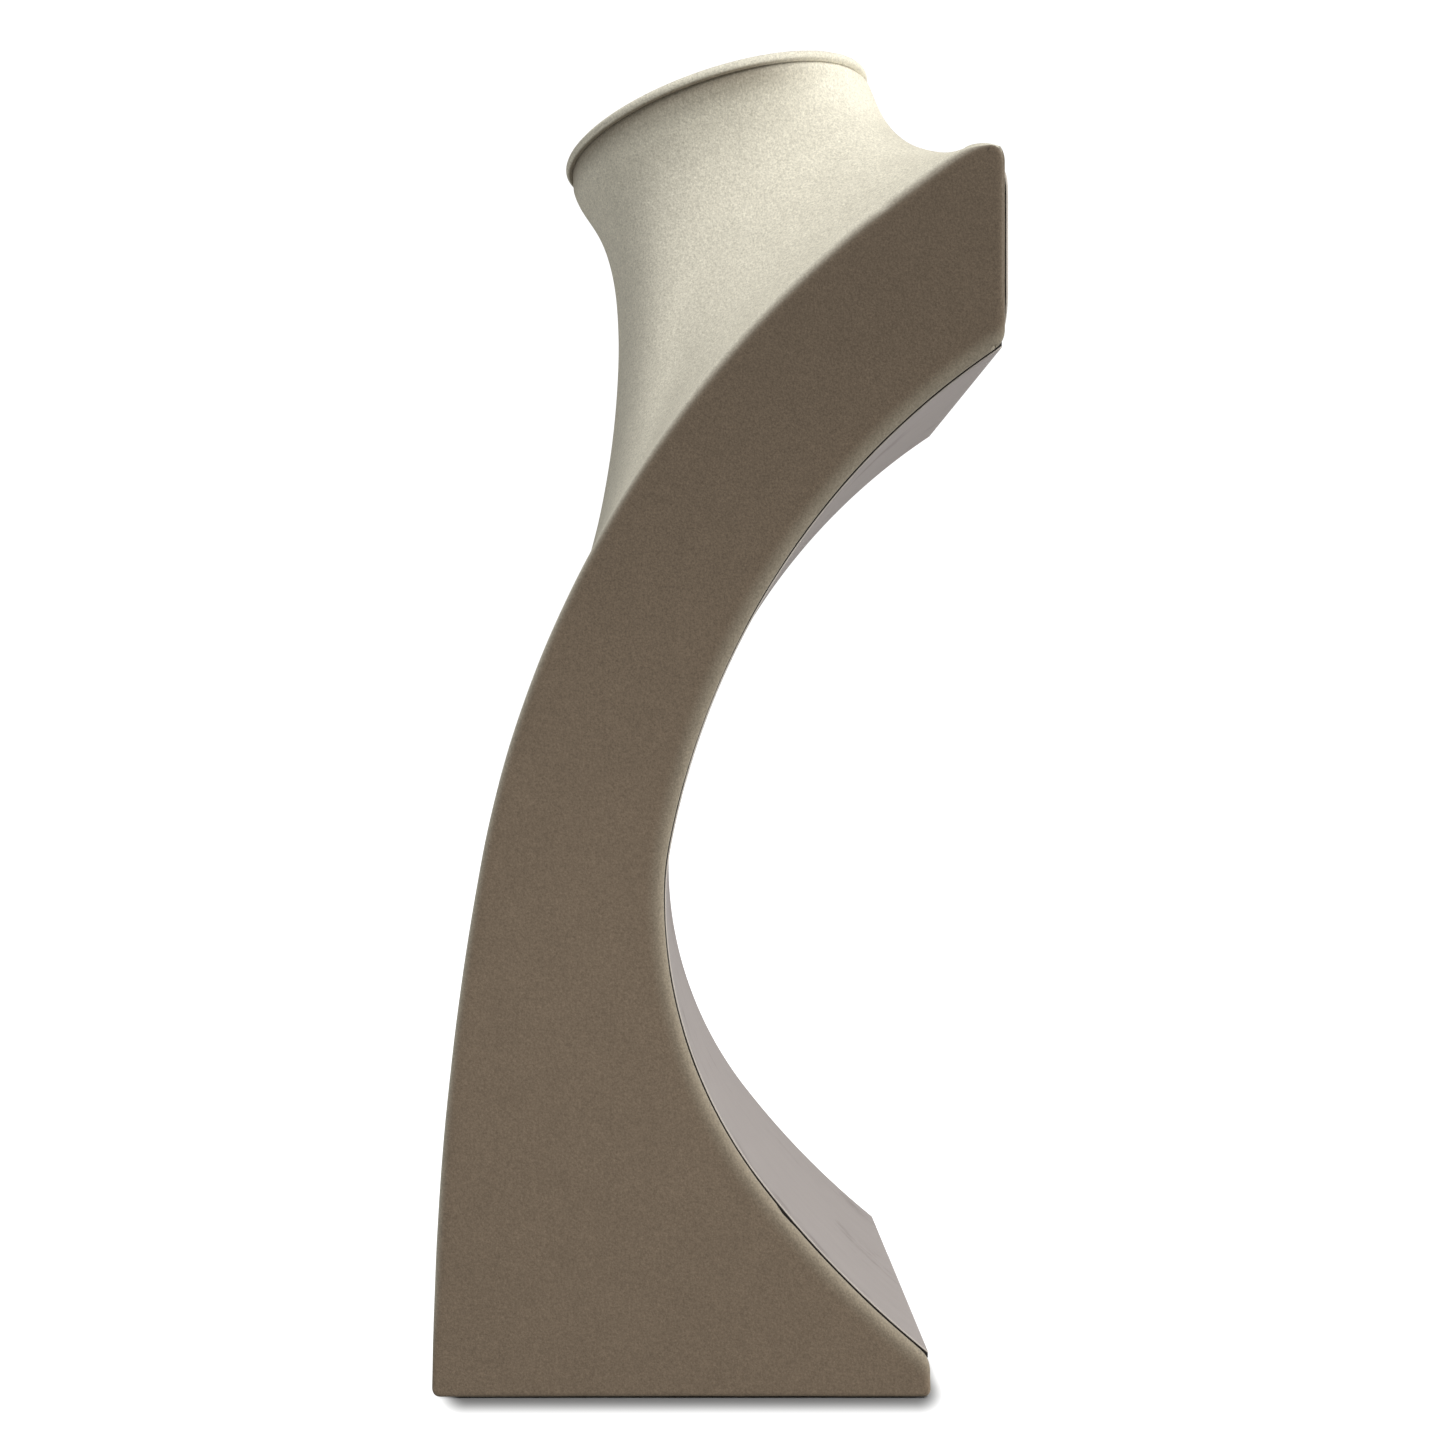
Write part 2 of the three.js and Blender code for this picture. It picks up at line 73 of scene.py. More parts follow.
SHOULDER_START_Z = 156.0
SIDE_START = -0.55
SIDE_SLOPE = 0.3
SADDLE_SLOPE = -0.1
SHOULDER_REACH = 0.47
ARCH_HEIGHT = 17.7
ARCH_POWER = 1.3
NECK_TOP_RADIUS = 37.0
FLARE_RING = dict(front=(-33.0, 256.8), back=(40.1, 292.8), half=31.0)
WAIST_RING = dict(front=(-15.4, 273.0), back=(38.2, 283.4), half=26.0)
EVEN_STEP = math.radians(3)
EVEN_REACH = 12  # steps to each side
EVEN_SPREAD = 3  # steps
EVEN_FROM = (0.02, 0.3)  # shares of a spoke over which the evening sets in
EVEN_UNTIL = (0.7, 0.97)  # and over which it ends
SIDE_SLOPE_RISE = 0.6  # the side slope reaches its full size this far behind SIDE_START
SADDLE_START = 0.3

BOARD_RISE = 0.5  # the board stands a little above the rolled edges
BOARD = 1.2
BACK_ROLL = 2.2  # how far the side fabric rolls over the concave back's edge
BOARD_HALF = 51.1
BOARD_SHIFT = -0.5  # the board sits a little to the left, so the gap shows on the right
BOARD_CLEARANCE = 0.3  # from the board's ends to the heel and to the upright back face

PAPER_HALF = 53.0  # half width of the sheet on the upright back face
PAPER_THICKNESS = 0.5
PAPER_OUT = 0.55  # from the fabric's flat back face to the sheet's outer face
PAPER_CORNER = 7.0
PAPER_HEIGHTS = (225.5, 260.5)

# The CAD model's own origin is at the centre of its box.
SHIFT_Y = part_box("right_side_cover")[0][1] / MM - FRONT_Y


def placed(x, y, z):
    """A point given in the model's millimetres, in metres in the shared frame."""
    return Vector((x * MM, (y + SHIFT_Y) * MM, z * MM))


# ---- outline of the side ----


def arc_centres(curve, side):
    """The centres of two arcs that share a tangent. `side` is +1 upwards and -1 downwards."""
    y, z = curve["start"]
    step = curve["near"] - curve["far"]
    first = (y + curve["near"], z)
    return first, (first[0] - step * math.cos(curve["turn"]), z + side * step * math.sin(curve["turn"]))


def arc_pair(curve, side, grow=0.0):
    """Points on two arcs that share a tangent, by the angle turned. `side` is +1 upwards and -1 downwards."""
    first, second = arc_centres(curve, side)

    def point(turned):
        centre, radius = (first, curve["near"]) if turned < curve["turn"] else (second, curve["far"])
        r = radius + grow
        return centre[0] - r * math.cos(turned), centre[1] + side * r * math.sin(turned)

    return point


def turn_where(curve, passed):
    low, high = -0.05, math.pi / 2
    for _ in range(50):
        middle = (low + high) / 2
        if passed(curve(middle)):
            high = middle
        else:
            low = middle
    return high


def sample(curve, start, end, steps):
    return [curve(start + (end - start) * i / steps) for i in range(steps + 1)]


def ease_corner(point):
    y, z = point
    along = max(0.0, (y - CORNER_START_Y) / (BACK_Y - CORNER_START_Y))
    return y, z - CORNER_DROP * along**3


# ---- neck and shoulders ----

front_curve = arc_pair(FRONT, 1)
SHOULDER_TURN = turn_where(front_curve, lambda p: p[1] > SHOULDER_START_Z)
TOP_TURN = turn_where(front_curve, lambda p: p[0] > BACK_Y)
RIM_AXIS = Vector((0, -math.sin(RIM_TILT), math.cos(RIM_TILT)))


def smooth_step(x, low, high):
    x = min(1.0, max(0.0, (x - low) / (high - low)))
    return x * x * (3 - 2 * x)


def ring_point(ring, angle):
    along = math.sin(angle)
    (fy, fz), (by, bz) = ring["front"], ring["back"]
    y = ((1 - along) * fy + (1 + along) * by) / 2
    z = ((1 - along) * fz + (1 + along) * bz) / 2
    return Vector((ring["half"] * math.cos(angle), y, z))


def neck_top_ring():
    y = RIM_CENTRE[0] - CAP_THICKNESS * RIM_AXIS.y
    z = RIM_CENTRE[1] - CAP_THICKNESS * RIM_AXIS.z
    dy, dz = NECK_TOP_RADIUS * math.cos(RIM_TILT), NECK_TOP_RADIUS * math.sin(RIM_TILT)
    return dict(front=(y - dy, z - dz), back=(y + dy, z + dz), half=NECK_TOP_RADIUS)


def outline_reach(angle):
    """How far a ray runs to the shoulders' outline: straight sides and back, and half an ellipse in front."""
    c, s = math.cos(angle), math.sin(angle)
    straight = 1 / max(abs(c), abs(s))
    if s * straight >= SIDE_START:
        return straight
    depth = (1 + SIDE_START) ** 2
    square = c * c + s * s / depth
    linear = -2 * SIDE_START * s / depth
    constant = SIDE_START**2 / depth - 1
    return (-linear + math.sqrt(linear**2 - 4 * square * constant)) / (2 * square)


def edge_point(angle):
    """The point of the body's edge that a spoke ends on, with its place across and along and its angle."""
    reach = outline_reach(angle)
    across, along = math.cos(angle) * reach, math.sin(angle) * reach
    turned = SHOULDER_TURN + (TOP_TURN - SHOULDER_TURN) * (along + 1) / 2
    y, z = ease_corner(front_curve(turned))
    if along > 1 - 1e-9:
        z += ARCH_HEIGHT * (1 - abs(across) ** ARCH_POWER)
    return across, along, turned, Vector((across * HALF, y, z))


def edge_direction(across, along, turned):
    """The direction in which the surface leaves the body's edge, towards the neck."""
    tangent = Vector((0, math.sin(turned), math.cos(turned)))
    normal = Vector((0, -math.cos(turned), math.sin(turned)))
    length = (TOP_TURN - SHOULDER_TURN) * FRONT["far"] / 2
    beside = SIDE_SLOPE * smooth_step(along, SIDE_START, SIDE_START + SIDE_SLOPE_RISE)
    saddle = smooth_step(along, SADDLE_START, 1) * (1 - across**2)
    slope = beside + (SADDLE_SLOPE - beside) * saddle
    inwards = (Vector((-across * HALF, 0, 0)) - tangent * along * length).normalized()
    return (inwards + normal * slope).normalized()


def control_points(angle):
    """The five control points of a spoke, from the neck's top to the body's edge."""
    across, along, turned, edge = edge_point(angle)
    flare = ring_point(FLARE_RING, angle)
    reach = SHOULDER_REACH * (edge - flare).length
    inner = edge + edge_direction(across, along, turned) * reach
    return np.array([ring_point(neck_top_ring(), angle), flare, ring_point(WAIST_RING, angle), inner, edge])


def bell_weights(spread):
    values = [math.exp(-((step / spread) ** 2) / 2) for step in range(-EVEN_REACH, EVEN_REACH + 1)]
    return [value / sum(values) for value in values]


def even_spokes(angles, shares):
    """All spokes, evened out with their neighbours between the neck's top and the body's edge."""
    wide = bell_weights(EVEN_SPREAD * math.sqrt(2))
    weights = [2 * weight - other for weight, other in zip(bell_weights(EVEN_SPREAD), wide)]
    bezier = np.array([[math.comb(4, k) * t**k * (1 - t) ** (4 - k) for k in range(5)] for t in shares])
    even = np.array([smooth_step(t, *EVEN_FROM) * (1 - smooth_step(t, *EVEN_UNTIL)) for t in shares])[:, None]
    spokes = []
    for angle in angles:
        near = [control_points(angle + (i - EVEN_REACH) * EVEN_STEP) for i in range(2 * EVEN_REACH + 1)]
        evened = sum(weight * controls for weight, controls in zip(weights, near))
        points = bezier @ near[EVEN_REACH]
        points += even * (bezier @ evened - points)
        spokes.append([Vector(p) for p in points.tolist()])
    return spokes


# ---- mesh helpers ----


def new_object(name, verts, faces, materials, smooth=True):
    """A mesh object from vertices in the model's millimetres."""
    mesh = bpy.data.meshes.new(name)
    mesh.from_pydata([placed(*v) for v in verts], [], faces)
    mesh.validate()
    for material in materials:
        mesh.materials.append(material)
    obj = bpy.data.objects.new(name, mesh)
    bpy.context.collection.objects.link(obj)
    fix_normals(obj)
    for polygon in mesh.polygons:
        polygon.use_smooth = smooth
    return obj


def fix_normals(obj):
    bm = bmesh.new()
    bm.from_mesh(obj.data)
    bmesh.ops.recalc_face_normals(bm, faces=bm.faces)
    bm.to_mesh(obj.data)
    bm.free()


def apply_modifiers(obj):
    """Bakes the modifiers of an object into its mesh."""
    graph = bpy.context.evaluated_depsgraph_get()
    mesh = bpy.data.meshes.new_from_object(obj.evaluated_get(graph))
    obj.modifiers.clear()
    old = obj.data
    obj.data = mesh
    bpy.data.meshes.remove(old)


def add_modifier(obj, kind, **settings):
    modifier = obj.modifiers.new(kind.title(), kind)
    for key, value in settings.items():
        setattr(modifier, key, value)
    return modifier


# ---- materials ----


class Nodes:
    """A small wrapper that builds a node material."""

    def __init__(self, name):
        self.material = bpy.data.materials.new(name)
        self.material.use_nodes = True
        self.tree = self.material.node_tree
        self.shader = self.tree.nodes["Principled BSDF"]

    def add(self, kind, inputs=None, **settings):
        node = self.tree.nodes.new(kind)
        for key, value in settings.items():
            setattr(node, key, value)
        for key, value in (inputs or {}).items():
            if isinstance(value, bpy.types.NodeSocket):
                self.tree.links.new(value, node.inputs[key])
            else:
                node.inputs[key].default_value = value
        return node

    def set(self, **values):
        for key, value in values.items():
            socket = self.shader.inputs[key.replace("_", " ")]
            if isinstance(value, bpy.types.NodeSocket):
                self.tree.links.new(value, socket)
            else:
                socket.default_value = value

    def coordinates(self, scale=(1, 1, 1)):
        where = self.add("ShaderNodeTexCoord").outputs["Object"]
        if scale == (1, 1, 1):
            return where
        return self.add("ShaderNodeMapping", {"Vector": where, "Scale": scale}).outputs["Vector"]

    def axes(self):
        """The X, Y and Z of the surface in the shared frame, in metres."""
        return self.add("ShaderNodeSeparateXYZ", {"Vector": self.coordinates()}).outputs

    def noise(self, scale, detail=2.0, roughness=0.5, stretch=(1, 1, 1)):
        inputs = {"Vector": self.coordinates(stretch), "Scale": scale}
        inputs |= {"Detail": detail, "Roughness": roughness}
        return self.add("ShaderNodeTexNoise", inputs).outputs["Fac"]

    def ramp(self, value, low, high, out_low=0.0, out_high=1.0, smooth=False):
        inputs = {"Value": value, "From Min": low, "From Max": high}
        inputs |= {"To Min": out_low, "To Max": out_high}
        kind = "SMOOTHSTEP" if smooth else "LINEAR"
        return self.add("ShaderNodeMapRange", inputs, interpolation_type=kind).outputs["Result"]

    def fade(self, value, between, out_low=0.0, out_high=1.0):
        """A smooth ramp over a stretch given in millimetres."""
        return self.ramp(value, between[0] * MM, between[1] * MM, out_low, out_high, smooth=True)

    def mix(self, factor, first, second, blend="MIX"):
        node = self.add("ShaderNodeMix", data_type="RGBA", blend_type=blend)
        sockets = {i.identifier: i for i in node.inputs}
        for key, value in (("Factor_Float", factor), ("A_Color", first), ("B_Color", second)):
            if isinstance(value, bpy.types.NodeSocket):
                self.tree.links.new(value, sockets[key])
            else:
                sockets[key].default_value = value
        return next(o for o in node.outputs if o.identifier == "Result_Color")

    def math(self, operation, first, second=0.0):
        node = self.add("ShaderNodeMath", operation=operation)
        for socket, value in zip(node.inputs, (first, second)):
            if isinstance(value, bpy.types.NodeSocket):
                self.tree.links.new(value, socket)
            else:
                socket.default_value = value
        return node.outputs["Value"]

    def product(self, *values):
        result = values[0]
        for value in values[1:]:
            result = self.math("MULTIPLY", result, value)
        return result

    def tinted(self, colour, level):
        grey = self.add("ShaderNodeCombineColor", {"Red": level, "Green": level, "Blue": level})
        return self.mix(1.0, colour, grey.outputs["Color"], "MULTIPLY")

    def bump(self, height, strength, distance):
        inputs = {"Height": height, "Strength": strength, "Distance": distance}
        self.set(Normal=self.add("ShaderNodeBump", inputs).outputs["Normal"])


def srgb(r, g, b):
    """Linear colour of an 8-bit screen colour."""
    return tuple(((c / 255 + 0.055) / 1.055) ** 2.4 if c > 10 else c / 3294.6 for c in (r, g, b)) + (1.0,)


CREAM = srgb(214, 209, 192)
TAUPE = srgb(116, 102, 86)
# painted highlight: the lighter colour along the concave back's rounded edge, where light catches the fabric
PAINTED_BACK_HIGHLIGHT = srgb(168, 164, 146)
LIP_SHADE = srgb(98, 84, 64)
SMUDGE = srgb(112, 104, 100)
GAP_SHADE = srgb(30, 26, 22)

# Stretches in millimetres over which the suede's colours fade into each other.
HOLLOW_CENTRE = arc_centres(FRONT, 1)[1]  # the concave back lies well inside a circle round it
HOLLOW_FADE = (193.0, 205.0)  # distance from HOLLOW_CENTRE
UPRIGHT_FADE = (BACK_Y - 1.8 + SHIFT_Y, BACK_Y - 0.5 + SHIFT_Y)  # Y
TUCK_FADE = (HALF - 3.4, HALF - 2.4)  # distance from the middle, on the roll beside the back
CREST_FADE = (HALF - 2.3, HALF - 0.2)
CREST_SHARE = 0.08  # the crest of that roll is this much lighter than the side
EDGE_FADE = (HALF - 2.6, HALF - 0.03)  # the same distance, on the other edges
# The painted highlight along the concave back's edge fades out over this distance from its outline, from this
# share.
BACK_HIGHLIGHT_FADE = (0.3, 4.2)  # distance from the concave back's outline
BACK_HIGHLIGHT_SHARE = 0.26
LIP_FADE = (1.9, 9.0)  # distance below the plane of the cap's top
LIP_START = (1.7, 2.0)
LIP_END = (4.0 + SHIFT_Y, 28.0 + SHIFT_Y)  # Y
LIP_SHARE = 0.72
GAP_INNER = (HALF - 4.4, HALF - 4.2)  # distance from the middle
GAP_OUTER = (HALF - BACK_ROLL - 0.24, HALF - BACK_ROLL - 0.1)
GAP_FOOT = (5.0, 6.0)  # Z
# The back board's edge gets painted shadow up to these distances from the concave back's outline.
JOINT_SHADOW_RISE = (-0.3, -0.15)  # distance from the concave back's outline, up the back board's edge
# Painted shade: the side's taupe darkens with height between these heights, down to this level at the top.
PAINTED_SHADE_HEIGHTS = (70.0, 250.0)  # Z
PAINTED_TOP_SHADE = 0.62

BELOW_ALL, ABOVE_ALL = -10.0, 400.0  # heights past both ends of the object

# Noise scale, detail, roughness, half of the noise's range, and the darkest and the lightest level.
SUEDE_GRAINS = (
    (140, 3, 0.6, 0.15, 0.975, 1.025),
    (1100, 3, 0.65, 0.2, 0.91, 1.08),
    (2300, 2, 0.7, 0.2, 0.79, 1.2),
)


def back_circles():
    """The concave back's circles with the heights between which each of them is its outline."""
    middle = BACK_UP["start"][1]
    up_near, up_far = arc_centres(BACK_UP, 1)
    down_near, down_far = arc_centres(BACK_DOWN, -1)
    up_joint = middle + BACK_UP["near"] * math.sin(BACK_UP["turn"])
    down_joint = middle - BACK_DOWN["near"] * math.sin(BACK_DOWN["turn"])
    return (
        (down_far, BACK_DOWN["far"], BELOW_ALL, down_joint),
        (down_near, BACK_DOWN["near"], down_joint, middle),
        (up_near, BACK_UP["near"], middle, up_joint),
        (up_far, BACK_UP["far"], up_joint, ABOVE_ALL),
    )


def distance(n, axes, y, z):
    """Distance in the side's plane from a point given in the model's millimetres."""
    dy = n.math("SUBTRACT", axes["Y"], (y + SHIFT_Y) * MM)
    dz = n.math("SUBTRACT", axes["Z"], z * MM)
    return n.math("SQRT", n.math("ADD", n.product(dy, dy), n.product(dz, dz)))


def depth_from_back(n, axes):
    """Distance from the concave back's outline into the body, in metres; negative outside."""
    total = 0.0
    for centre, radius, low, high in back_circles():
        above = n.math("GREATER_THAN", axes["Z"], low * MM)
        below = n.math("LESS_THAN", axes["Z"], high * MM)
        depth = n.math("SUBTRACT", distance(n, axes, *centre), radius * MM)
        total = n.math("ADD", total, n.product(depth, above, below))
    return total


def shade_under_lip(n, axes):
    """The darker band on the neck just under the cap's lip, which fades towards the back."""
    along = n.add("ShaderNodeVectorMath", {0: n.coordinates(), 1: RIM_AXIS}, operation="DOT_PRODUCT")
    below = n.math("SUBTRACT", placed(0, *RIM_CENTRE).dot(RIM_AXIS), along.outputs["Value"])
    start = n.ramp(below, LIP_START[0] * MM, LIP_START[1] * MM)
    return n.product(n.fade(below, LIP_FADE, 1.0, 0.0), start, n.fade(axes["Y"], LIP_END, LIP_SHARE, 0.0))


def side_colour_share(n, beside, in_hollow, at_back):
    """How much of the side's colour shows: all of it on the flat sides and nearly all beside the back."""
    back = n.math("MAXIMUM", in_hollow, at_back)
    tucked = n.fade(beside, TUCK_FADE, 0.0, 1 - CREST_SHARE)
    crest = n.fade(beside, CREST_FADE, 0.0, CREST_SHARE)
    roll = n.product(back, n.math("ADD", tucked, crest))
    return n.math("MAXIMUM", roll, n.fade(beside, EDGE_FADE))


def gap_share(n, axes, beside, in_hollow, at_back):
    """The fold beside the back board, painted nearly black as shadow."""
    outer = n.ramp(beside, GAP_OUTER[0] * MM, GAP_OUTER[1] * MM, 1.0, 0.0)
    inner = n.ramp(beside, GAP_INNER[0] * MM, GAP_INNER[1] * MM)
    above_heel = n.ramp(axes["Z"], GAP_FOOT[0] * MM, GAP_FOOT[1] * MM)
    return n.product(outer, inner, n.math("SUBTRACT", 1.0, at_back), in_hollow, above_heel)


def suede_colour(n):
    """Cream on the front and the neck, taupe on the flat sides, fading over the rounded edge; with painted
    shade on the upper side, under the lip and in the fold beside the back board, and a painted highlight
    along the concave back's edge.
    """
    axes = n.axes()
    beside = n.math("ABSOLUTE", axes["X"])
    in_hollow = n.fade(distance(n, axes, *HOLLOW_CENTRE), HOLLOW_FADE, 1.0, 0.0)
    at_back = n.fade(axes["Y"], UPRIGHT_FADE)
    # painted highlight along the concave back's rounded edge
    back_highlight = n.product(n.fade(depth_from_back(n, axes), BACK_HIGHLIGHT_FADE, BACK_HIGHLIGHT_SHARE, 0.0), in_hollow)
    # painted shade: the side is darker towards the top
    side = n.tinted(TAUPE, n.fade(axes["Z"], PAINTED_SHADE_HEIGHTS, 1.0, PAINTED_TOP_SHADE))
    side = n.mix(back_highlight, side, PAINTED_BACK_HIGHLIGHT)
    cream = n.mix(shade_under_lip(n, axes), CREAM, LIP_SHADE)
    both = n.mix(side_colour_share(n, beside, in_hollow, at_back), cream, side)
    return n.mix(gap_share(n, axes, beside, in_hollow, at_back), both, GAP_SHADE)


def suede():
    """Microfibre with a fine, slightly cloudy nap."""
    n = Nodes("suede")
    grains = []
    for scale, detail, roughness, half, darkest, lightest in SUEDE_GRAINS:
        grains.append(n.ramp(n.noise(scale, detail, roughness), 0.5 - half, 0.5 + half, darkest, lightest))
    n.set(Base_Color=n.tinted(suede_colour(n), n.product(*grains)))
    n.set(Roughness=0.95, Specular_IOR_Level=0.12, Sheen_Weight=0.2, Sheen_Roughness=0.45)
    n.set(Sheen_Tint=srgb(235, 228, 210))
    height = n.math("ADD", n.noise(1500, 3, 0.65), n.product(n.noise(500, 2, 0.5), 0.6))
    n.bump(height, 0.35, 0.0004)
    return n.material


def paperboard(name, colour, smudged=False, joint_shadow=False):
    """Pressed grey board, optionally with painted shadow on the part of its edge that lies in the joint with
    the fabric.
    """
    n = Nodes(name)
    fibre = n.ramp(n.noise(260, 4, 0.6, (1, 0.35, 0.35)), 0.3, 0.7, 0.965, 1.02)
    base = n.tinted(colour, fibre)
    if smudged:
        blot = n.ramp(n.noise(70, 5, 0.7, (1, 0.5, 0.5)), 0.56, 0.7, smooth=True)
        base = n.mix(n.product(blot, 0.5), base, SMUDGE)
    if joint_shadow:
        # painted shadow in the joint with the fabric
        low = n.ramp(depth_from_back(n, n.axes()), JOINT_SHADOW_RISE[0] * MM, JOINT_SHADOW_RISE[1] * MM)
        base = n.mix(low, base, GAP_SHADE)
    n.set(Base_Color=base, Roughness=0.62, Specular_IOR_Level=0.3)
    n.bump(n.noise(1200, 2, 0.5), 0.12, 0.0002)
    return n.material


def fibreboard():
    n = Nodes("raw_fibreboard")
    speck = n.ramp(n.noise(1600, 3, 0.7), 0.3, 0.7)
    n.set(Base_Color=n.mix(speck, srgb(158, 122, 82), srgb(192, 156, 112)), Roughness=0.85)
    n.bump(n.noise(2200, 2, 0.6), 0.2, 0.0002)
    return n.material


def pine():
    n = Nodes("planed_pine")
    inputs = {"Vector": n.coordinates((0.06, 1, 1)), "Scale": 160.0, "Distortion": 6.0, "Detail": 3.0}
    wave = n.add("ShaderNodeTexWave", inputs)
    grain = n.ramp(wave.outputs["Fac"], 0.2, 0.9)
    n.set(Base_Color=n.mix(grain, srgb(222, 186, 132), srgb(188, 142, 88)), Roughness=0.6)
    n.bump(wave.outputs["Fac"], 0.1, 0.0003)
    return n.material


def rigid_foam():
    n = Nodes("rigid_foam")
    cells = n.add("ShaderNodeTexVoronoi", {"Vector": n.coordinates(), "Scale": 420.0}).outputs["Distance"]
    base = n.mix(n.ramp(cells, 0.0, 0.8), srgb(244, 242, 236), srgb(222, 219, 210))
    n.set(Base_Color=base, Roughness=0.9)
    n.bump(cells, 0.3, 0.0004)
    return n.material


def wire_steel():
    n = Nodes("wire_steel")
    streak = n.ramp(n.noise(900, 2, 0.6, (0.08, 1, 1)), 0.3, 0.7, 0.28, 0.45)
    n.set(Base_Color=srgb(176, 178, 180), Metallic=1.0, Roughness=streak)
    return n.material


def backing_paper():
    n = Nodes("backing_paper")
    fibre = n.ramp(n.noise(800, 3, 0.6), 0.3, 0.7)
    n.set(Base_Color=n.mix(fibre, srgb(44, 40, 37), srgb(66, 60, 55)), Roughness=0.88)
    n.bump(n.noise(1500, 2, 0.6), 0.2, 0.0002)
    return n.material


SUEDE = suede()
BOARD_FACE = paperboard("grey_board", srgb(150, 143, 139), smudged=True)
BOARD_EDGE = paperboard("board_edge", srgb(196, 188, 178), joint_shadow=True)
PALE_SHEET = paperboard("pale_sheet", srgb(176, 168, 158))
INNER_BOARD = paperboard("plain_board", srgb(150, 142, 134))
FIBREBOARD = fibreboard()
PINE = pine()
FOAM = rigid_foam()
STEEL = wire_steel()
PAPER = backing_paper()

SLOT_MATERIALS = dict(fibreboard=FIBREBOARD, pine=PINE, foam=FOAM, steel=STEEL, grey_board=INNER_BOARD)


def dress_cad_nodes():
    """Gives every carried-over CAD node the material of its record slot."""
    for part in frame["record"]["subparts"]:
        material = SLOT_MATERIALS.get(part["material_slot"])
        if material:
            node = frame["nodes"][part["node"]]
            node.data.materials.clear()
            node.data.materials.append(material)


# ---- the suede cover ----

DOWN, FORWARDS = Vector((0, 0, -1)), Vector((0, -1, 0))
TOP_CORNER = 4.0  # how far the soft corners reach from where the sharp ones would be
BACK_CORNER = 2.6
HEEL_TOP_CORNER = 2.8
HEEL_CORNER = 1.8
TOE_CORNER = 2.0
BOARD_ROOM = 2.3  # height left under or above the back board's ends, where the fabric is folded away
FOLD_CORNER = 0.25
UNDER_LAP = 12.0  # width of the fabric turned under the base
TUCKS = (0.3, 0.8, 1.5)
FOLD_STEPS = (1, 2, 3)
FLAP_STEPS = ((0.22, 0.25), (0.3, 0.8), (0.3, 1.4), (1.9, 1.75))  # beside the board: towards the middle, in
FRONT_EDGE = 3.2  # how far the rounding of the side's edge reaches: along the front and the shoulders,
BOTTOM_EDGE = 1.2  # and along the base; along the back it is BACK_ROLL
TOE_NARROWING = 2.0
HEEL_EDGE_TOP = 10.0  # height up to which the heel's edge is treated on its own

SIDE_SPOKES, BACK_SPOKES, FRONT_SPOKES = 72, 88, 96
TOP_STEPS = 8  # round the top edge
UPRIGHT_STEPS = 14  # down the upright back face
UPPER_STEPS, LOWER_STEPS = 90, 80  # along the two halves of the concave back
FRONT_STEPS = 70  # up the front
ROLL_STEPS = 6


def edge_radius(y, z):
    """How far the rounding of the side's edge reaches, except along the back."""
    if z < FLOOR + 0.01:
        return BOTTOM_EDGE
    if z < HEEL_EDGE_TOP and y > 0:
        return BOTTOM_EDGE + (BACK_ROLL - BOTTOM_EDGE) * smooth_step(z, FLOOR, 5)
    narrowing = (FRONT_EDGE - BACK_ROLL) * smooth_step(y, 36, 57)
    return FRONT_EDGE - narrowing - TOE_NARROWING * (1 - smooth_step(z, 0, 25))


def tangent_at(turned):
    """Direction of the body's front edge, going up."""
    low, high = (Vector((0, *ease_corner(front_curve(turned + d)))) for d in (-1e-4, 1e-4))
    return (high - low).normalized()


def outward(tangent):
    return Vector((0, -tangent.z, tangent.y))


TOP_TANGENT = tangent_at(TOP_TURN)


def round_side(point, tangent, radius):
    """Bends a point near the side's plane into the rounded edge."""
    share = (1 - (HALF - abs(point.x)) / radius) / 2
    if share <= 0:
        return point
    side = math.copysign(1, point.x)
    return point + (Vector((-side, 0, 0)) - outward(tangent)) * share**2 * radius


def round_top(point, tangent):
    """Bends a point near the upright back face into the rounded top edge. Also returns the new direction."""
    share = (1 - (BACK_Y - point.y) / (TOP_CORNER * TOP_TANGENT.y)) / 2
    if share <= 0:
        return point, tangent
    bent = point + (DOWN - TOP_TANGENT) * share**2 * TOP_CORNER
    return bent, (TOP_TANGENT * (1 - share) + DOWN * share).normalized()


def corner(at, before, after, leg, steps=8):
    """A soft corner of the side outline as stations: points with their directions."""
    stations = []
    for i in range(steps + 1):
        t = i / steps
        point = (at - before * leg) * (1 - t) ** 2 + at * 2 * t * (1 - t) + (at + after * leg) * t**2
        stations.append((point, (before * (1 - t) + after * t).normalized()))
    return stations


def straight(start, end, steps):
    direction = (end - start).normalized()
    return [(start.lerp(end, i / steps), direction) for i in range(1, steps)]


def back_stations():
    """The soft corners of the concave back and the stations between them, going down."""
    up, down = arc_pair(BACK_UP, 1), arc_pair(BACK_DOWN, -1)
    up_to = turn_where(up, lambda p: p[0] > BACK_Y)
    down_to = turn_where(down, lambda p: p[0] > HEEL_Y)
    upper_way = Vector((0, -math.sin(up_to), -math.cos(up_to)))
    lower_way = Vector((0, math.sin(down_to), -math.cos(down_to)))
    upper = corner(Vector((0, *up(up_to))), DOWN, upper_way, BACK_CORNER)
    lower = corner(Vector((0, *down(down_to))), lower_way, DOWN, HEEL_TOP_CORNER)
    from_turn = up_to - BACK_CORNER / BACK_UP["far"]
    to_turn = down_to - HEEL_TOP_CORNER / BACK_DOWN["far"]
    between = []
    for i in range(1, UPPER_STEPS):
        a = from_turn * (1 - i / UPPER_STEPS)
        between.append((Vector((0, *up(a))), Vector((0, -math.sin(a), -math.cos(a)))))
    for i in range(LOWER_STEPS):
        a = to_turn * i / LOWER_STEPS
        between.append((Vector((0, *down(a))), Vector((0, math.sin(a), -math.cos(a)))))
    return upper, between, lower


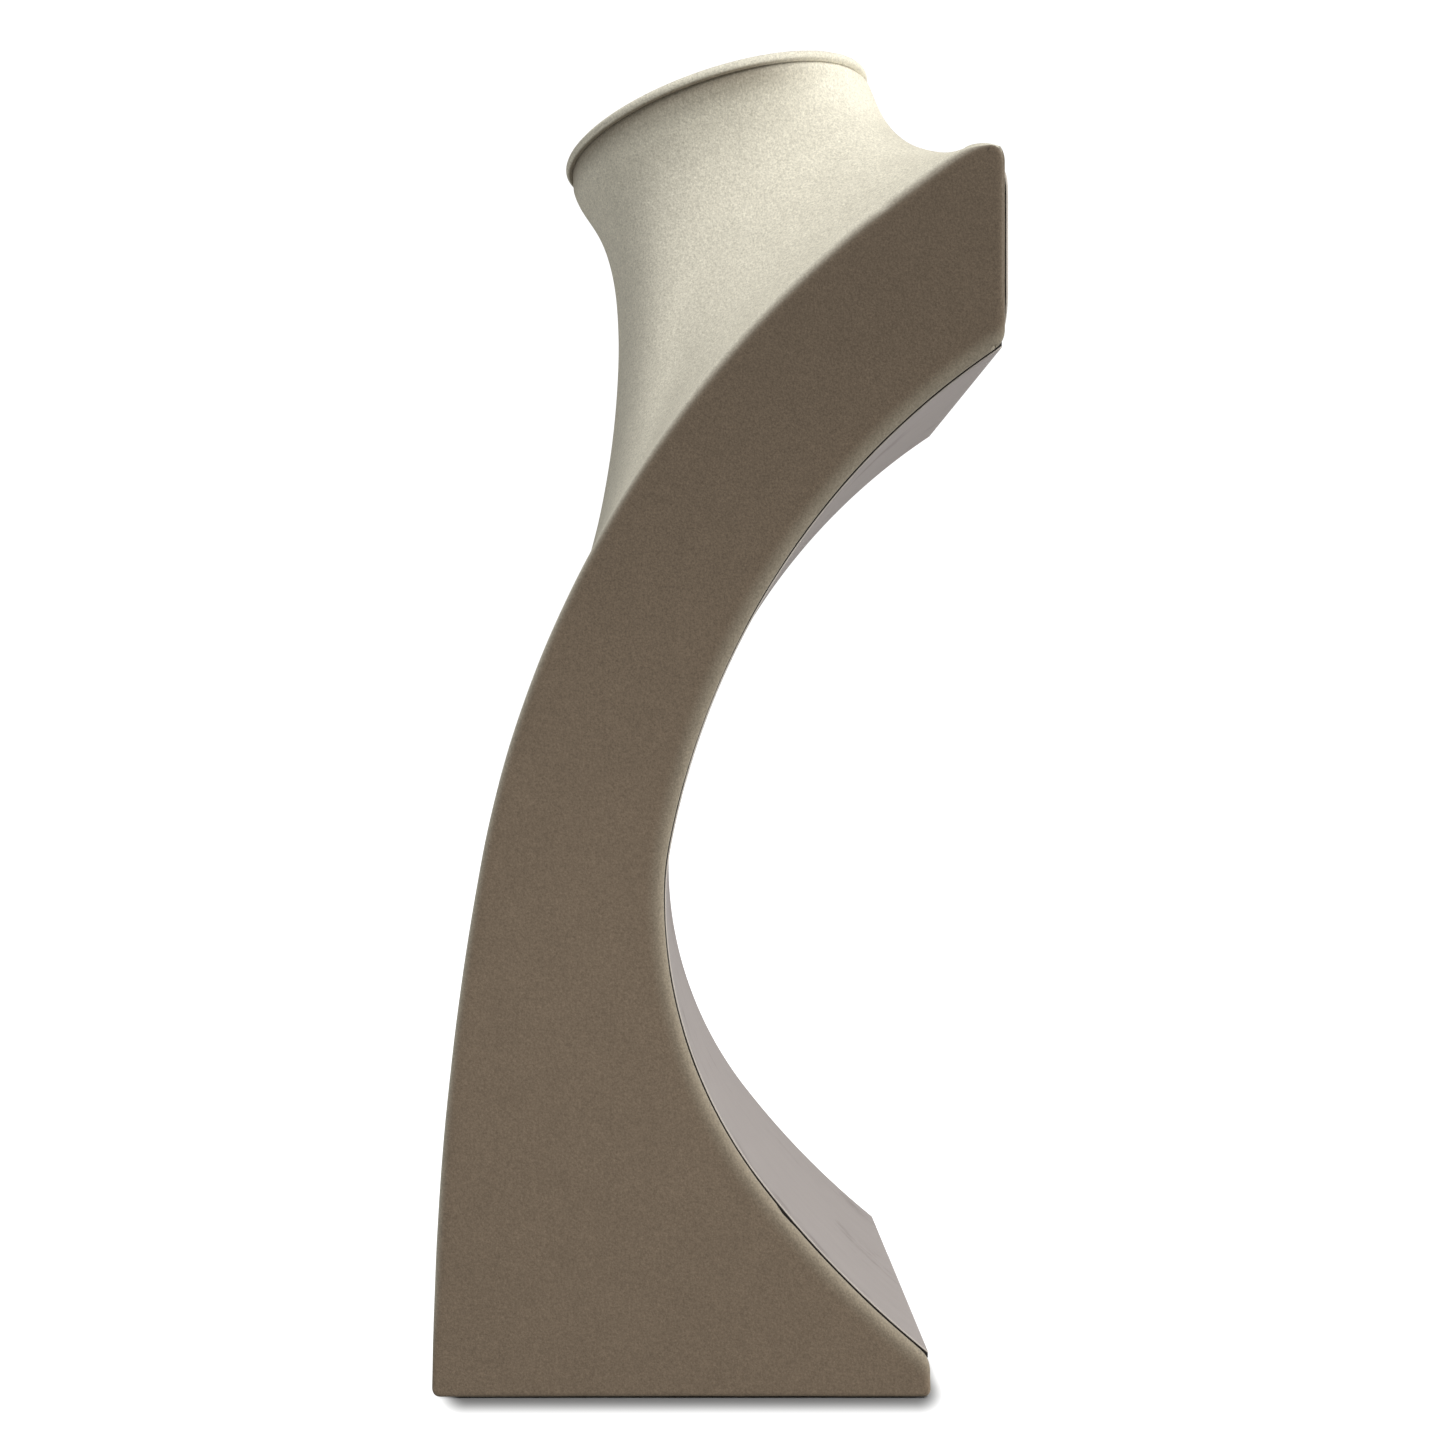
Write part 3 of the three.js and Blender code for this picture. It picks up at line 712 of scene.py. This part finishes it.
def base_stations(heel_start):
    """Stations down the heel, along the base and round the toe, and the turn at which the front goes on."""
    heel = Vector((0, HEEL_Y, FLOOR))
    rise_from = turn_where(front_curve, lambda p: p[1] > FLOOR)
    toe = Vector((0, *front_curve(rise_from)))
    heel_corner = corner(heel, DOWN, FORWARDS, HEEL_CORNER)
    toe_corner = corner(toe, FORWARDS, tangent_at(rise_from), TOE_CORNER)
    back_hem = Vector((0, HEEL_Y - UNDER_LAP, FLOOR))
    front_hem = Vector((0, FRONT_Y + UNDER_LAP, FLOOR))
    stations = straight(heel_start, heel_corner[0][0], 4) + heel_corner
    stations += straight(heel_corner[-1][0], back_hem, 5) + [(back_hem, FORWARDS)]
    stations += straight(back_hem, front_hem, 12) + [(front_hem, FORWARDS)]
    stations += straight(front_hem, toe_corner[0][0], 5) + toe_corner
    return stations, rise_from + TOE_CORNER / FRONT["near"]


def dense_ends(steps, low=1.0, high=1.0):
    """Numbers from 0 to 1, closer together towards the ends."""
    values = []
    for i in range(steps + 1):
        u = i / steps
        values.append(u - (high if u > 0.5 else low) * 0.9 * math.sin(2 * math.pi * u) / (2 * math.pi))
    return values


def spoke_angles():
    """Angles of the spokes: the right side, the back, the left side and the front's half ellipse."""
    side = math.atan(-SIDE_START)
    quarter, half = math.pi / 4, math.pi / 2
    right = [-side + (quarter + side) * u for u in dense_ends(SIDE_SPOKES, low=0.2)]
    back = [quarter + half * u for u in dense_ends(BACK_SPOKES)]
    left = [math.pi - a for a in reversed(right)]
    front = [math.pi + side + (math.pi - 2 * side) * i / FRONT_SPOKES for i in range(FRONT_SPOKES + 1)]
    return right[:-1], back[:-1], left[:-1], front[:-1]


def ring_shares(rings=54):
    """Where the rings cross a spoke: evenly, and closer together near the body's edge."""
    even = [i / rings for i in range(rings - 2)]
    return even + [1 - d / rings for d in (2, 1.6, 1.25, 0.95, 0.7, 0.45, 0.22, 0)]


def add_grid(mesh, rows, closed=False):
    """Adds a grid of points, given as rows of the same length, and returns its rows of indices."""
    verts, faces = mesh
    indices = []
    for row in rows:
        indices.append(list(range(len(verts), len(verts) + len(row))))
        verts.extend(row)
    pairs = list(zip(indices, indices[1:]))
    if closed:
        pairs.append((indices[-1], indices[0]))
    for first, second in pairs:
        for k in range(len(first) - 1):
            faces.append([first[k], first[k + 1], second[k + 1], second[k]])
    return indices


GROOVE_DEPTH = 0.5  # the fabric is drawn in under the cap's lip
GROOVE_END = 0.06
HEM_SHARES = (0.9, 0.96)  # the fabric's end under the cap, as shares of the neck's radius


def finished_spoke(angle, points):
    """One spoke from under the cap to the edge, with the soft edges bent in."""
    across, along, turned, edge = edge_point(angle)
    tangent = tangent_at(turned)
    radius = edge_radius(edge.y, edge.z)
    bent = []
    for point in points:
        lower, way = round_top(point, tangent)
        bent.append(round_side(lower, way, radius))
    centre = Vector((0, *RIM_CENTRE)) - RIM_AXIS * CAP_THICKNESS
    for i, share in enumerate(ring_shares()):
        groove = GROOVE_DEPTH * (1 - smooth_step(share, 0, GROOVE_END))
        outwards = bent[i] - centre
        outwards -= RIM_AXIS * outwards.dot(RIM_AXIS)
        bent[i] = bent[i] - outwards.normalized() * groove
    hem = [centre + (bent[0] - centre) * share for share in HEM_SHARES]
    return hem + bent


def side_face(mesh, outline, side):
    """The flat side inside its rounded edge."""
    rows = []
    for share in (0.5, 0.42, 0.34, 0.26, 0.18, 0.1, 0.05, 0.0):
        row = []
        for point, tangent, radius in outline:
            edge = Vector((side * HALF, point.y, point.z))
            flat = edge - outward(tangent) * radius * (1 - 2 * share)
            row.append(flat + (Vector((-side, 0, 0)) - outward(tangent)) * share**2 * radius)
        rows.append(row + row[:1])
    last = add_grid(mesh, rows)[-1]
    mesh[1].append(last[:-1])


def back_roll(mesh, stations, side):
    """The side fabric rolled over the concave back's edge and tucked in beside the back board."""
    rows = []
    for point, tangent in stations:
        row = []
        for i in range(ROLL_STEPS + 1):
            x = side * (HALF - BACK_ROLL * i / ROLL_STEPS)
            row.append(round_side(Vector((x, point.y, point.z)), tangent, BACK_ROLL))
        for shift, depth in FLAP_STEPS:
            x = side * (HALF - BACK_ROLL - shift)
            row.append(Vector((x, point.y, point.z)) - outward(tangent) * depth)
        rows.append(row)
    add_grid(mesh, rows)


def across_row(columns, point, tangent, radius):
    return [round_side(Vector((x, point.y, point.z)), tangent, radius) for x in columns]


def folded_rows(columns, rolls, folds):
    """Rows whose ends follow the side's rolls while the middle is folded away behind the back board."""
    rows = []
    for (roll, tangent), (fold, _) in zip(rolls, folds):
        row = []
        for x in columns:
            share = smooth_step(abs(x), HALF - BACK_ROLL - 0.9, HALF - BACK_ROLL)
            point = fold.lerp(roll, share)
            row.append(round_side(Vector((x, point.y, point.z)), tangent, BACK_ROLL))
        rows.append(row)
    return rows


def tucked_in(stations, depths):
    """The last station repeated ever further inside the body."""
    point, tangent = stations[-1]
    return stations + [(point - outward(tangent) * depth, tangent) for depth in depths]


def folded_on(stations, way, steps):
    """The last station repeated ever further along `way`."""
    point, tangent = stations[-1]
    return stations + [(point + way * step, tangent) for step in steps]


def top_edge(at):
    """The rounded top edge of the back below a point of the sharp one, as stations going down."""
    stations = []
    for i in range(TOP_STEPS + 1):
        share = (1 - i / TOP_STEPS) / 2
        way = (TOP_TANGENT * share + DOWN * (1 - share)).normalized()
        flat = at + DOWN * TOP_CORNER * (1 - 2 * share)
        stations.append((flat + (DOWN - TOP_TANGENT) * share**2 * TOP_CORNER, way))
    return stations


def upright_face(at, end):
    """The upright back face below a point of the sharp top edge, as stations down to the height `end`."""
    stations = []
    for i in range(1, UPRIGHT_STEPS):
        z = (at.z - TOP_CORNER) * (1 - i / UPRIGHT_STEPS) + end * i / UPRIGHT_STEPS
        stations.append((Vector((at.x, BACK_Y, z)), DOWN))
    return stations


def upright_back(mesh, arch, upper):
    """The fabric from the arched top edge down the upright back face, folded in above the back board."""
    end = upper[0][0].z
    columns = [top_edge(at) + upright_face(at, end) for at in arch]
    rows = [[round_side(at, way, BACK_ROLL) for at, way in row] for row in zip(*columns)]
    way = upper[-1][1]
    fold = corner(Vector((0, BACK_Y, end - BACK_CORNER + BOARD_ROOM)), DOWN, way, FOLD_CORNER)
    rows += folded_rows([at.x for at in arch], tucked_in(upper, TUCKS), folded_on(fold, way, FOLD_STEPS))
    add_grid(mesh, rows)


def lower_body(mesh, edges, lower, base, front_start):
    """The fabric on the heel, under the base and up the front to the shoulders."""
    columns = [edge.x for _, edge in edges]
    way = lower[0][1]
    heel_top = lower[-1][0].z + HEEL_TOP_CORNER
    fold = corner(Vector((0, HEEL_Y, heel_top - BOARD_ROOM)), way, DOWN, FOLD_CORNER)
    rolls = tucked_in(lower[::-1], TUCKS)[::-1]
    rows = folded_rows(columns, rolls, folded_on(fold[::-1], -way, FOLD_STEPS)[::-1])
    rows += [across_row(columns, at, way, edge_radius(at.y, at.z)) for at, way in base]
    for i in range(1, FRONT_STEPS + 1):
        row = []
        for turned, edge in edges:
            angle = front_start + (turned - front_start) * i / FRONT_STEPS
            at = Vector((edge.x, *front_curve(angle)))
            row.append(round_side(at, tangent_at(angle), edge_radius(at.y, at.z)))
        rows.append(row)
    add_grid(mesh, rows)


def front_stations(start, end):
    """Stations up the front between two turns, without the ends."""
    turns = [start + (end - start) * i / FRONT_STEPS for i in range(1, FRONT_STEPS)]
    return [(Vector((0, *front_curve(turned))), tangent_at(turned)) for turned in turns]


def side_outline(shoulder_angles, back, front):
    """The whole outline of a side: places, directions and how far the rounding reaches there."""
    outline = []
    for angle in shoulder_angles:
        _, _, turned, edge = edge_point(angle)
        at, way = round_top(edge, tangent_at(turned))
        outline.append((at, way, edge_radius(edge.y, edge.z)))
    top_corner = edge_point(math.pi / 4)[3]
    back = top_edge(top_corner) + upright_face(top_corner, back[0][0].z) + back
    outline += [(at, way, BACK_ROLL) for at, way in back]
    return outline + [(at, way, edge_radius(at.y, at.z)) for at, way in front]


def cover_mesh():
    """The whole fabric skin as one mesh of points and faces, in millimetres."""
    mesh = ([], [])
    right, back, left, front = spoke_angles()
    angles = right + back + left + front
    spokes = zip(angles, even_spokes(angles, ring_shares()))
    add_grid(mesh, [finished_spoke(angle, points) for angle, points in spokes], closed=True)

    upper, between, lower = back_stations()
    base, front_start = base_stations(lower[-1][0])
    upright_back(mesh, [edge_point(angle)[3] for angle in back + left[:1]], upper)
    edges = [edge_point(angle)[2:] for angle in front + right[:1]]
    lower_body(mesh, edges, lower, base, front_start)

    up_front = front_stations(front_start, edges[0][0])
    outline = side_outline(right, upper + between + lower, base + up_front)
    for side in (1, -1):
        side_face(mesh, outline, side)
        back_roll(mesh, upper[-1:] + between + lower[:1], side)
    return mesh


def finish_skin(obj):
    """Joins the grids, opens the underside inside its hem and turns the normals outwards."""
    bm = bmesh.new()
    bm.from_mesh(obj.data)
    bmesh.ops.remove_doubles(bm, verts=bm.verts, dist=2e-6)
    bmesh.ops.dissolve_degenerate(bm, edges=bm.edges, dist=1e-6)
    inside = []
    for face in bm.faces:
        c = face.calc_center_median() / MM
        flat = c.z < FLOOR + 0.01 and abs(c.x) < HALF - UNDER_LAP
        if flat and FRONT_Y + UNDER_LAP < c.y - SHIFT_Y < HEEL_Y - UNDER_LAP:
            inside.append(face)
    bmesh.ops.delete(bm, geom=inside, context="FACES")
    bmesh.ops.recalc_face_normals(bm, faces=bm.faces)
    sides = sorted(bm.faces, key=lambda f: f.calc_area())[-2:]
    if sides[0].normal.x * sides[0].calc_center_median().x < 0:
        bmesh.ops.reverse_faces(bm, faces=bm.faces)
    for face in sides:
        face.smooth = False
    bm.to_mesh(obj.data)
    bm.free()


WAVES = ((28, 0.16), (90, 0.05))  # noise scale and height
SHOULDER_PINCH_Y = 34.0
BOARD_PINCH_Z = 38.0


def pull_fabric(obj):
    """Small unevenness of hand-glued fabric: soft waves, and two places where the edge is pinched."""
    low_back = arc_pair(BACK_DOWN, -1)
    shoulder_turn = turn_where(front_curve, lambda p: p[0] > SHOULDER_PINCH_Y)
    board_turn = turn_where(low_back, lambda p: p[1] < BOARD_PINCH_Z)
    shoulder = placed(HALF - 0.9, *front_curve(shoulder_turn))
    beside_board = placed(HALF - 1.7, *low_back(board_turn))
    pinches = ((shoulder, 0.35, 1.3), (beside_board, 0.4, 1.6))  # place, depth and size
    normals = [vert.normal.copy() for vert in obj.data.vertices]
    for vert, normal in zip(obj.data.vertices, normals):
        flat = normal.x**4
        push = sum(noise.noise(vert.co * scale) * height for scale, height in WAVES) * (1 - flat)
        for place, depth, size in pinches:
            away = (vert.co - place).length / (size * MM)
            push -= depth * math.exp(-away * away)
        vert.co += normal * push * MM


def suede_cover():
    cover = new_object("suede_cover", *cover_mesh(), [SUEDE])
    finish_skin(cover)
    pull_fabric(cover)
    add_modifier(cover, "SOLIDIFY", thickness=FABRIC * MM, offset=-1, use_rim=True)
    apply_modifiers(cover)
    return cover


# ---- cap ----


CAP_SPOKES = 192
LIP_STEPS = 8
CAP_FABRIC = 0.6


def cap_cover():
    """The disc on the neck: a slightly dished top, a rolled lip and a short return underneath."""
    roll = CAP_THICKNESS / 2
    profile = [(0.0, -0.45), (18.0, -0.4), (30.0, -0.22), (RIM_RADIUS - 2.6, -0.05)]
    for i in range(LIP_STEPS + 1):
        angle = math.pi / 2 - math.pi * i / LIP_STEPS
        profile.append((RIM_RADIUS - roll + roll * math.cos(angle), -roll + roll * math.sin(angle)))
    profile += [(RIM_RADIUS - 2.2, -CAP_THICKNESS - 0.05), (RIM_RADIUS - 3.4, -CAP_THICKNESS)]
    verts, faces = [], []
    tilt = Matrix.Rotation(RIM_TILT, 4, "X")
    for i in range(CAP_SPOKES):
        angle = 2 * math.pi * i / CAP_SPOKES
        for r, height in profile:
            p = tilt @ Vector((r * math.cos(angle), r * math.sin(angle), height))
            verts.append((p.x, p.y + RIM_CENTRE[0], p.z + RIM_CENTRE[1]))
    size = len(profile)
    for i in range(CAP_SPOKES):
        a, b = i * size, (i + 1) % CAP_SPOKES * size
        faces += [[a + k, a + k + 1, b + k + 1, b + k] for k in range(size - 1)]
    cap = new_object("cap_suede", verts, faces, [SUEDE])
    bm = bmesh.new()
    bm.from_mesh(cap.data)
    bmesh.ops.remove_doubles(bm, verts=bm.verts, dist=1e-6)
    bm.to_mesh(cap.data)
    bm.free()
    fix_normals(cap)
    add_modifier(cap, "SOLIDIFY", thickness=CAP_FABRIC * MM, offset=-1, use_rim=True)
    apply_modifiers(cap)
    return cap


# ---- boards and sheets ----


BOARD_COLUMNS = 20
BOARD_MARGIN = 0.25  # width of the outermost columns
BOARD_BEVEL = 0.18
SHEET_BEVEL = 0.2
SHEET_CORNER_STEPS = 6
BASE_CORNER = 3.0


def bevel_edges(obj, width):
    angle = math.radians(50)
    add_modifier(obj, "BEVEL", width=width * MM, segments=2, limit_method="ANGLE", angle_limit=angle)
    apply_modifiers(obj)


def bent_strip(name, outer, inner, half, materials):
    """A closed board whose section runs between two lines in (Y, Z), across the width."""
    inside = half - BOARD_MARGIN
    columns = [-inside + 2 * inside * i / BOARD_COLUMNS for i in range(BOARD_COLUMNS + 1)]
    columns = [-half] + columns + [half]
    count = len(outer)
    loop = outer + inner[::-1]
    verts = [(x, y, z) for x in columns for y, z in loop]
    size = len(loop)
    faces = []
    for i in range(len(columns) - 1):
        for k in range(size):
            m = (k + 1) % size
            faces.append([i * size + k, i * size + m, (i + 1) * size + m, (i + 1) * size + k])
    for i in (0, len(columns) - 1):
        for k in range(count - 1):
            quad = [i * size + k, i * size + k + 1, i * size + size - 2 - k, i * size + size - 1 - k]
            faces.append(quad)
    board = new_object(name, verts, faces, materials)
    for polygon in board.data.polygons:
        edge = abs(polygon.normal.x) > 0.9
        polygon.material_index = 1 if edge and len(materials) > 1 else 0
        polygon.use_smooth = not edge
    bevel_edges(board, BOARD_BEVEL)
    return board


def back_line(inset):
    down, up = arc_pair(BACK_DOWN, -1, inset), arc_pair(BACK_UP, 1, inset)
    low = turn_where(down, lambda p: p[0] > HEEL_Y - BOARD_CLEARANCE)
    high = turn_where(up, lambda p: p[0] > BACK_Y - BOARD_CLEARANCE)
    return sample(down, low, 0, 50) + sample(up, 0, high, 60)[1:]


def back_board():
    outer, inner = back_line(-BOARD_RISE), back_line(BOARD - BOARD_RISE)
    board = bent_strip("back_paperboard", outer, inner, BOARD_HALF, [BOARD_FACE, BOARD_EDGE])
    board.data.transform(Matrix.Translation((BOARD_SHIFT * MM, 0, 0)))
    return board


def rounded_sheet(name, centre, size, axis, thickness, radius, materials):
    """A thin flat sheet with rounded corners. `axis` is the index of the axis across its thickness."""
    u, v = [i for i in range(3) if i != axis]
    across, along = size[0] / 2 - radius, size[1] / 2 - radius
    corners = []
    for sx, sy, start in ((1, 1, 0), (-1, 1, 90), (-1, -1, 180), (1, -1, 270)):
        for i in range(SHEET_CORNER_STEPS + 1):
            angle = math.radians(start + 90 * i / SHEET_CORNER_STEPS)
            corners.append((sx * across + radius * math.cos(angle), sy * along + radius * math.sin(angle)))
    verts = []
    for side in (-0.5, 0.5):
        for a, b in corners:
            point = list(centre)
            point[u] += a
            point[v] += b
            point[axis] += side * thickness
            verts.append(point)
    count = len(corners)
    faces = [list(range(count)), list(range(2 * count - 1, count - 1, -1))]
    faces += [[i, (i + 1) % count, (i + 1) % count + count, i + count] for i in range(count)]
    sheet = new_object(name, verts, faces, materials, smooth=False)
    bevel_edges(sheet, SHEET_BEVEL)
    return sheet


def node_box(node):
    """A CAD node's box in the model's millimetres."""
    low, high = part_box(node)
    low, high = [c / MM for c in low], [c / MM for c in high]
    low[1] -= SHIFT_Y
    high[1] -= SHIFT_Y
    return low, high


def base_paper():
    """The sheet under the base, as large as in the CAD model."""
    low, high = node_box("base_sheet")
    centre = [(a + b) / 2 for a, b in zip(low, high)]
    size = (high[0] - low[0], high[1] - low[1])
    return rounded_sheet("base_paper", centre, size, 2, high[2] - low[2], BASE_CORNER, [PAPER])


def upper_back_paper():
    """The sheet on the upright back face: its edge stands out beside the fabric, and its face towards the
    fabric gets the dark backing paper as painted shade.
    """
    low, high = PAPER_HEIGHTS
    centre = (0.0, BACK_Y + PAPER_OUT - PAPER_THICKNESS / 2, (low + high) / 2)
    materials = [PALE_SHEET, PAPER]
    size = (2 * PAPER_HALF, high - low)
    sheet = rounded_sheet("upper_back_paper", centre, size, 1, PAPER_THICKNESS, PAPER_CORNER, materials)
    # painted shade: the face towards the fabric is given the dark backing paper
    for polygon in sheet.data.polygons:
        polygon.material_index = 1 if polygon.normal.y < -0.9 else 0
    return sheet


# ---- the pieces ----


def stand_for(piece, slot, *nodes):
    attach(piece, "root")
    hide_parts(*nodes)


dress_cad_nodes()

cover = suede_cover()
stand_for(cover, "suede", "front_cover", "right_side_cover", "left_side_cover", "heel_cover")

cap = cap_cover()
stand_for(cap, "suede", "cap_cover")

stand_for(back_board(), "grey_board", "back_board")
stand_for(upper_back_paper(), "grey_board", "upper_back_sheet")
stand_for(base_paper(), "dark_paper", "base_sheet")

# ---- floor, light and camera ----


# The contact shadow is partly painted: over these distances the floor's glow to the camera fades in.
SHADOW_FADE = (8.0, 20.0)  # distance from the base sheet over which the floor turns white
NARROWER_BEHIND = 4.0  # the shadow is this many times narrower on the far side,
NARROWER_BESIDE = 2.2  # and at the front and the back of the base


def distance_from_base(n):
    """Distance on the floor from the base sheet, stretched where the shadow is narrower."""
    low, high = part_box("base_sheet")
    middle, half = (low[1] + high[1]) / 2, (high[1] - low[1]) / 2
    axes = n.axes()
    near = n.math("MAXIMUM", n.math("SUBTRACT", axes["X"], high[0]), 0.0)
    far = n.math("MAXIMUM", n.math("SUBTRACT", low[0], axes["X"]), 0.0)
    dx = n.math("ADD", near, n.product(far, NARROWER_BEHIND))
    beside = n.math("ABSOLUTE", n.math("SUBTRACT", axes["Y"], middle))
    dy = n.product(n.math("MAXIMUM", n.math("SUBTRACT", beside, half), 0.0), NARROWER_BESIDE)
    return n.math("SQRT", n.math("ADD", n.product(dx, dx), n.product(dy, dy)))


def floor_material():
    """White to the camera, with a soft contact shadow round the base, partly real shading and partly painted:
    the glow seen by the camera fades out near the base.
    """
    n = Nodes("studio_floor")
    glow = n.fade(distance_from_base(n), SHADOW_FADE, 0.0, 1.2)
    seen = n.add("ShaderNodeLightPath").outputs["Is Camera Ray"]
    n.set(Base_Color=n.mix(seen, (0.46, 0.46, 0.46, 1), (0.22, 0.22, 0.22, 1)))
    n.set(Roughness=0.9, Specular_IOR_Level=0.0)
    n.set(Emission_Color=(1, 1, 1, 1), Emission_Strength=n.product(glow, seen))
    return n.material


def add_floor():
    size = 6.0
    mesh = bpy.data.meshes.new("studio_floor")
    corners = [(-size, -size, 0), (size, -size, 0), (size, size, 0), (-size, size, 0)]
    mesh.from_pydata(corners, [], [(0, 1, 2, 3)])
    mesh.materials.append(floor_material())
    floor = bpy.data.objects.new("studio_floor", mesh)
    bpy.context.collection.objects.link(floor)


def add_world(seen, strength):
    """A white surround: `seen` is what the camera sees of it, `strength` what it lights with."""
    world = bpy.data.worlds.new("studio")
    world.use_nodes = True
    bpy.context.scene.world = world
    tree = world.node_tree
    background = tree.nodes["Background"]
    background.inputs["Color"].default_value = (1, 1, 1, 1)
    path = tree.nodes.new("ShaderNodeLightPath")
    levels = tree.nodes.new("ShaderNodeMapRange")
    levels.inputs["To Min"].default_value = strength
    levels.inputs["To Max"].default_value = seen
    tree.links.new(path.outputs["Is Camera Ray"], levels.inputs["Value"])
    tree.links.new(levels.outputs["Result"], background.inputs["Strength"])


def add_area_light(name, place, target, size, power, colour=(1, 1, 1)):
    light = bpy.data.lights.new(name, "AREA")
    light.shape = "DISK"
    light.size = size
    light.energy = power
    light.color = colour
    obj = bpy.data.objects.new(name, light)
    obj.location = place
    obj.rotation_euler = (Vector(target) - Vector(place)).to_track_quat("-Z", "Y").to_euler()
    bpy.context.collection.objects.link(obj)


CAMERA_DISTANCE = 353.2  # from the right side
CAMERA_Y = -9.0
CAMERA_Z = 137.1


def add_camera():
    """Square on to the right side, level with the middle of the bust."""
    camera = bpy.data.cameras.new("camera")
    camera.lens = 41.9
    camera.sensor_width = 36.0
    camera.shift_x = 0.0314
    camera.shift_y = 0.0167
    camera.clip_start = 0.01
    obj = bpy.data.objects.new("camera", camera)
    obj.location = placed(HALF + CAMERA_DISTANCE, CAMERA_Y, CAMERA_Z)
    obj.rotation_euler = (math.radians(90), 0, math.radians(90))
    bpy.context.collection.objects.link(obj)
    bpy.context.scene.camera = obj


add_floor()
add_world(seen=1.1, strength=0.26)
centre = (0, 0, 0.2)
add_area_light("key", (1.15, 0.62, 1.4), centre, 0.7, 32)
add_area_light("back_fill", (0.0, 0.75, 0.1), centre, 0.2, 3.3)
add_area_light("front_fill", (0.25, -1.25, 0.35), centre, 0.7, 2.5)
add_camera()
bpy.context.scene.view_settings.view_transform = "Standard"
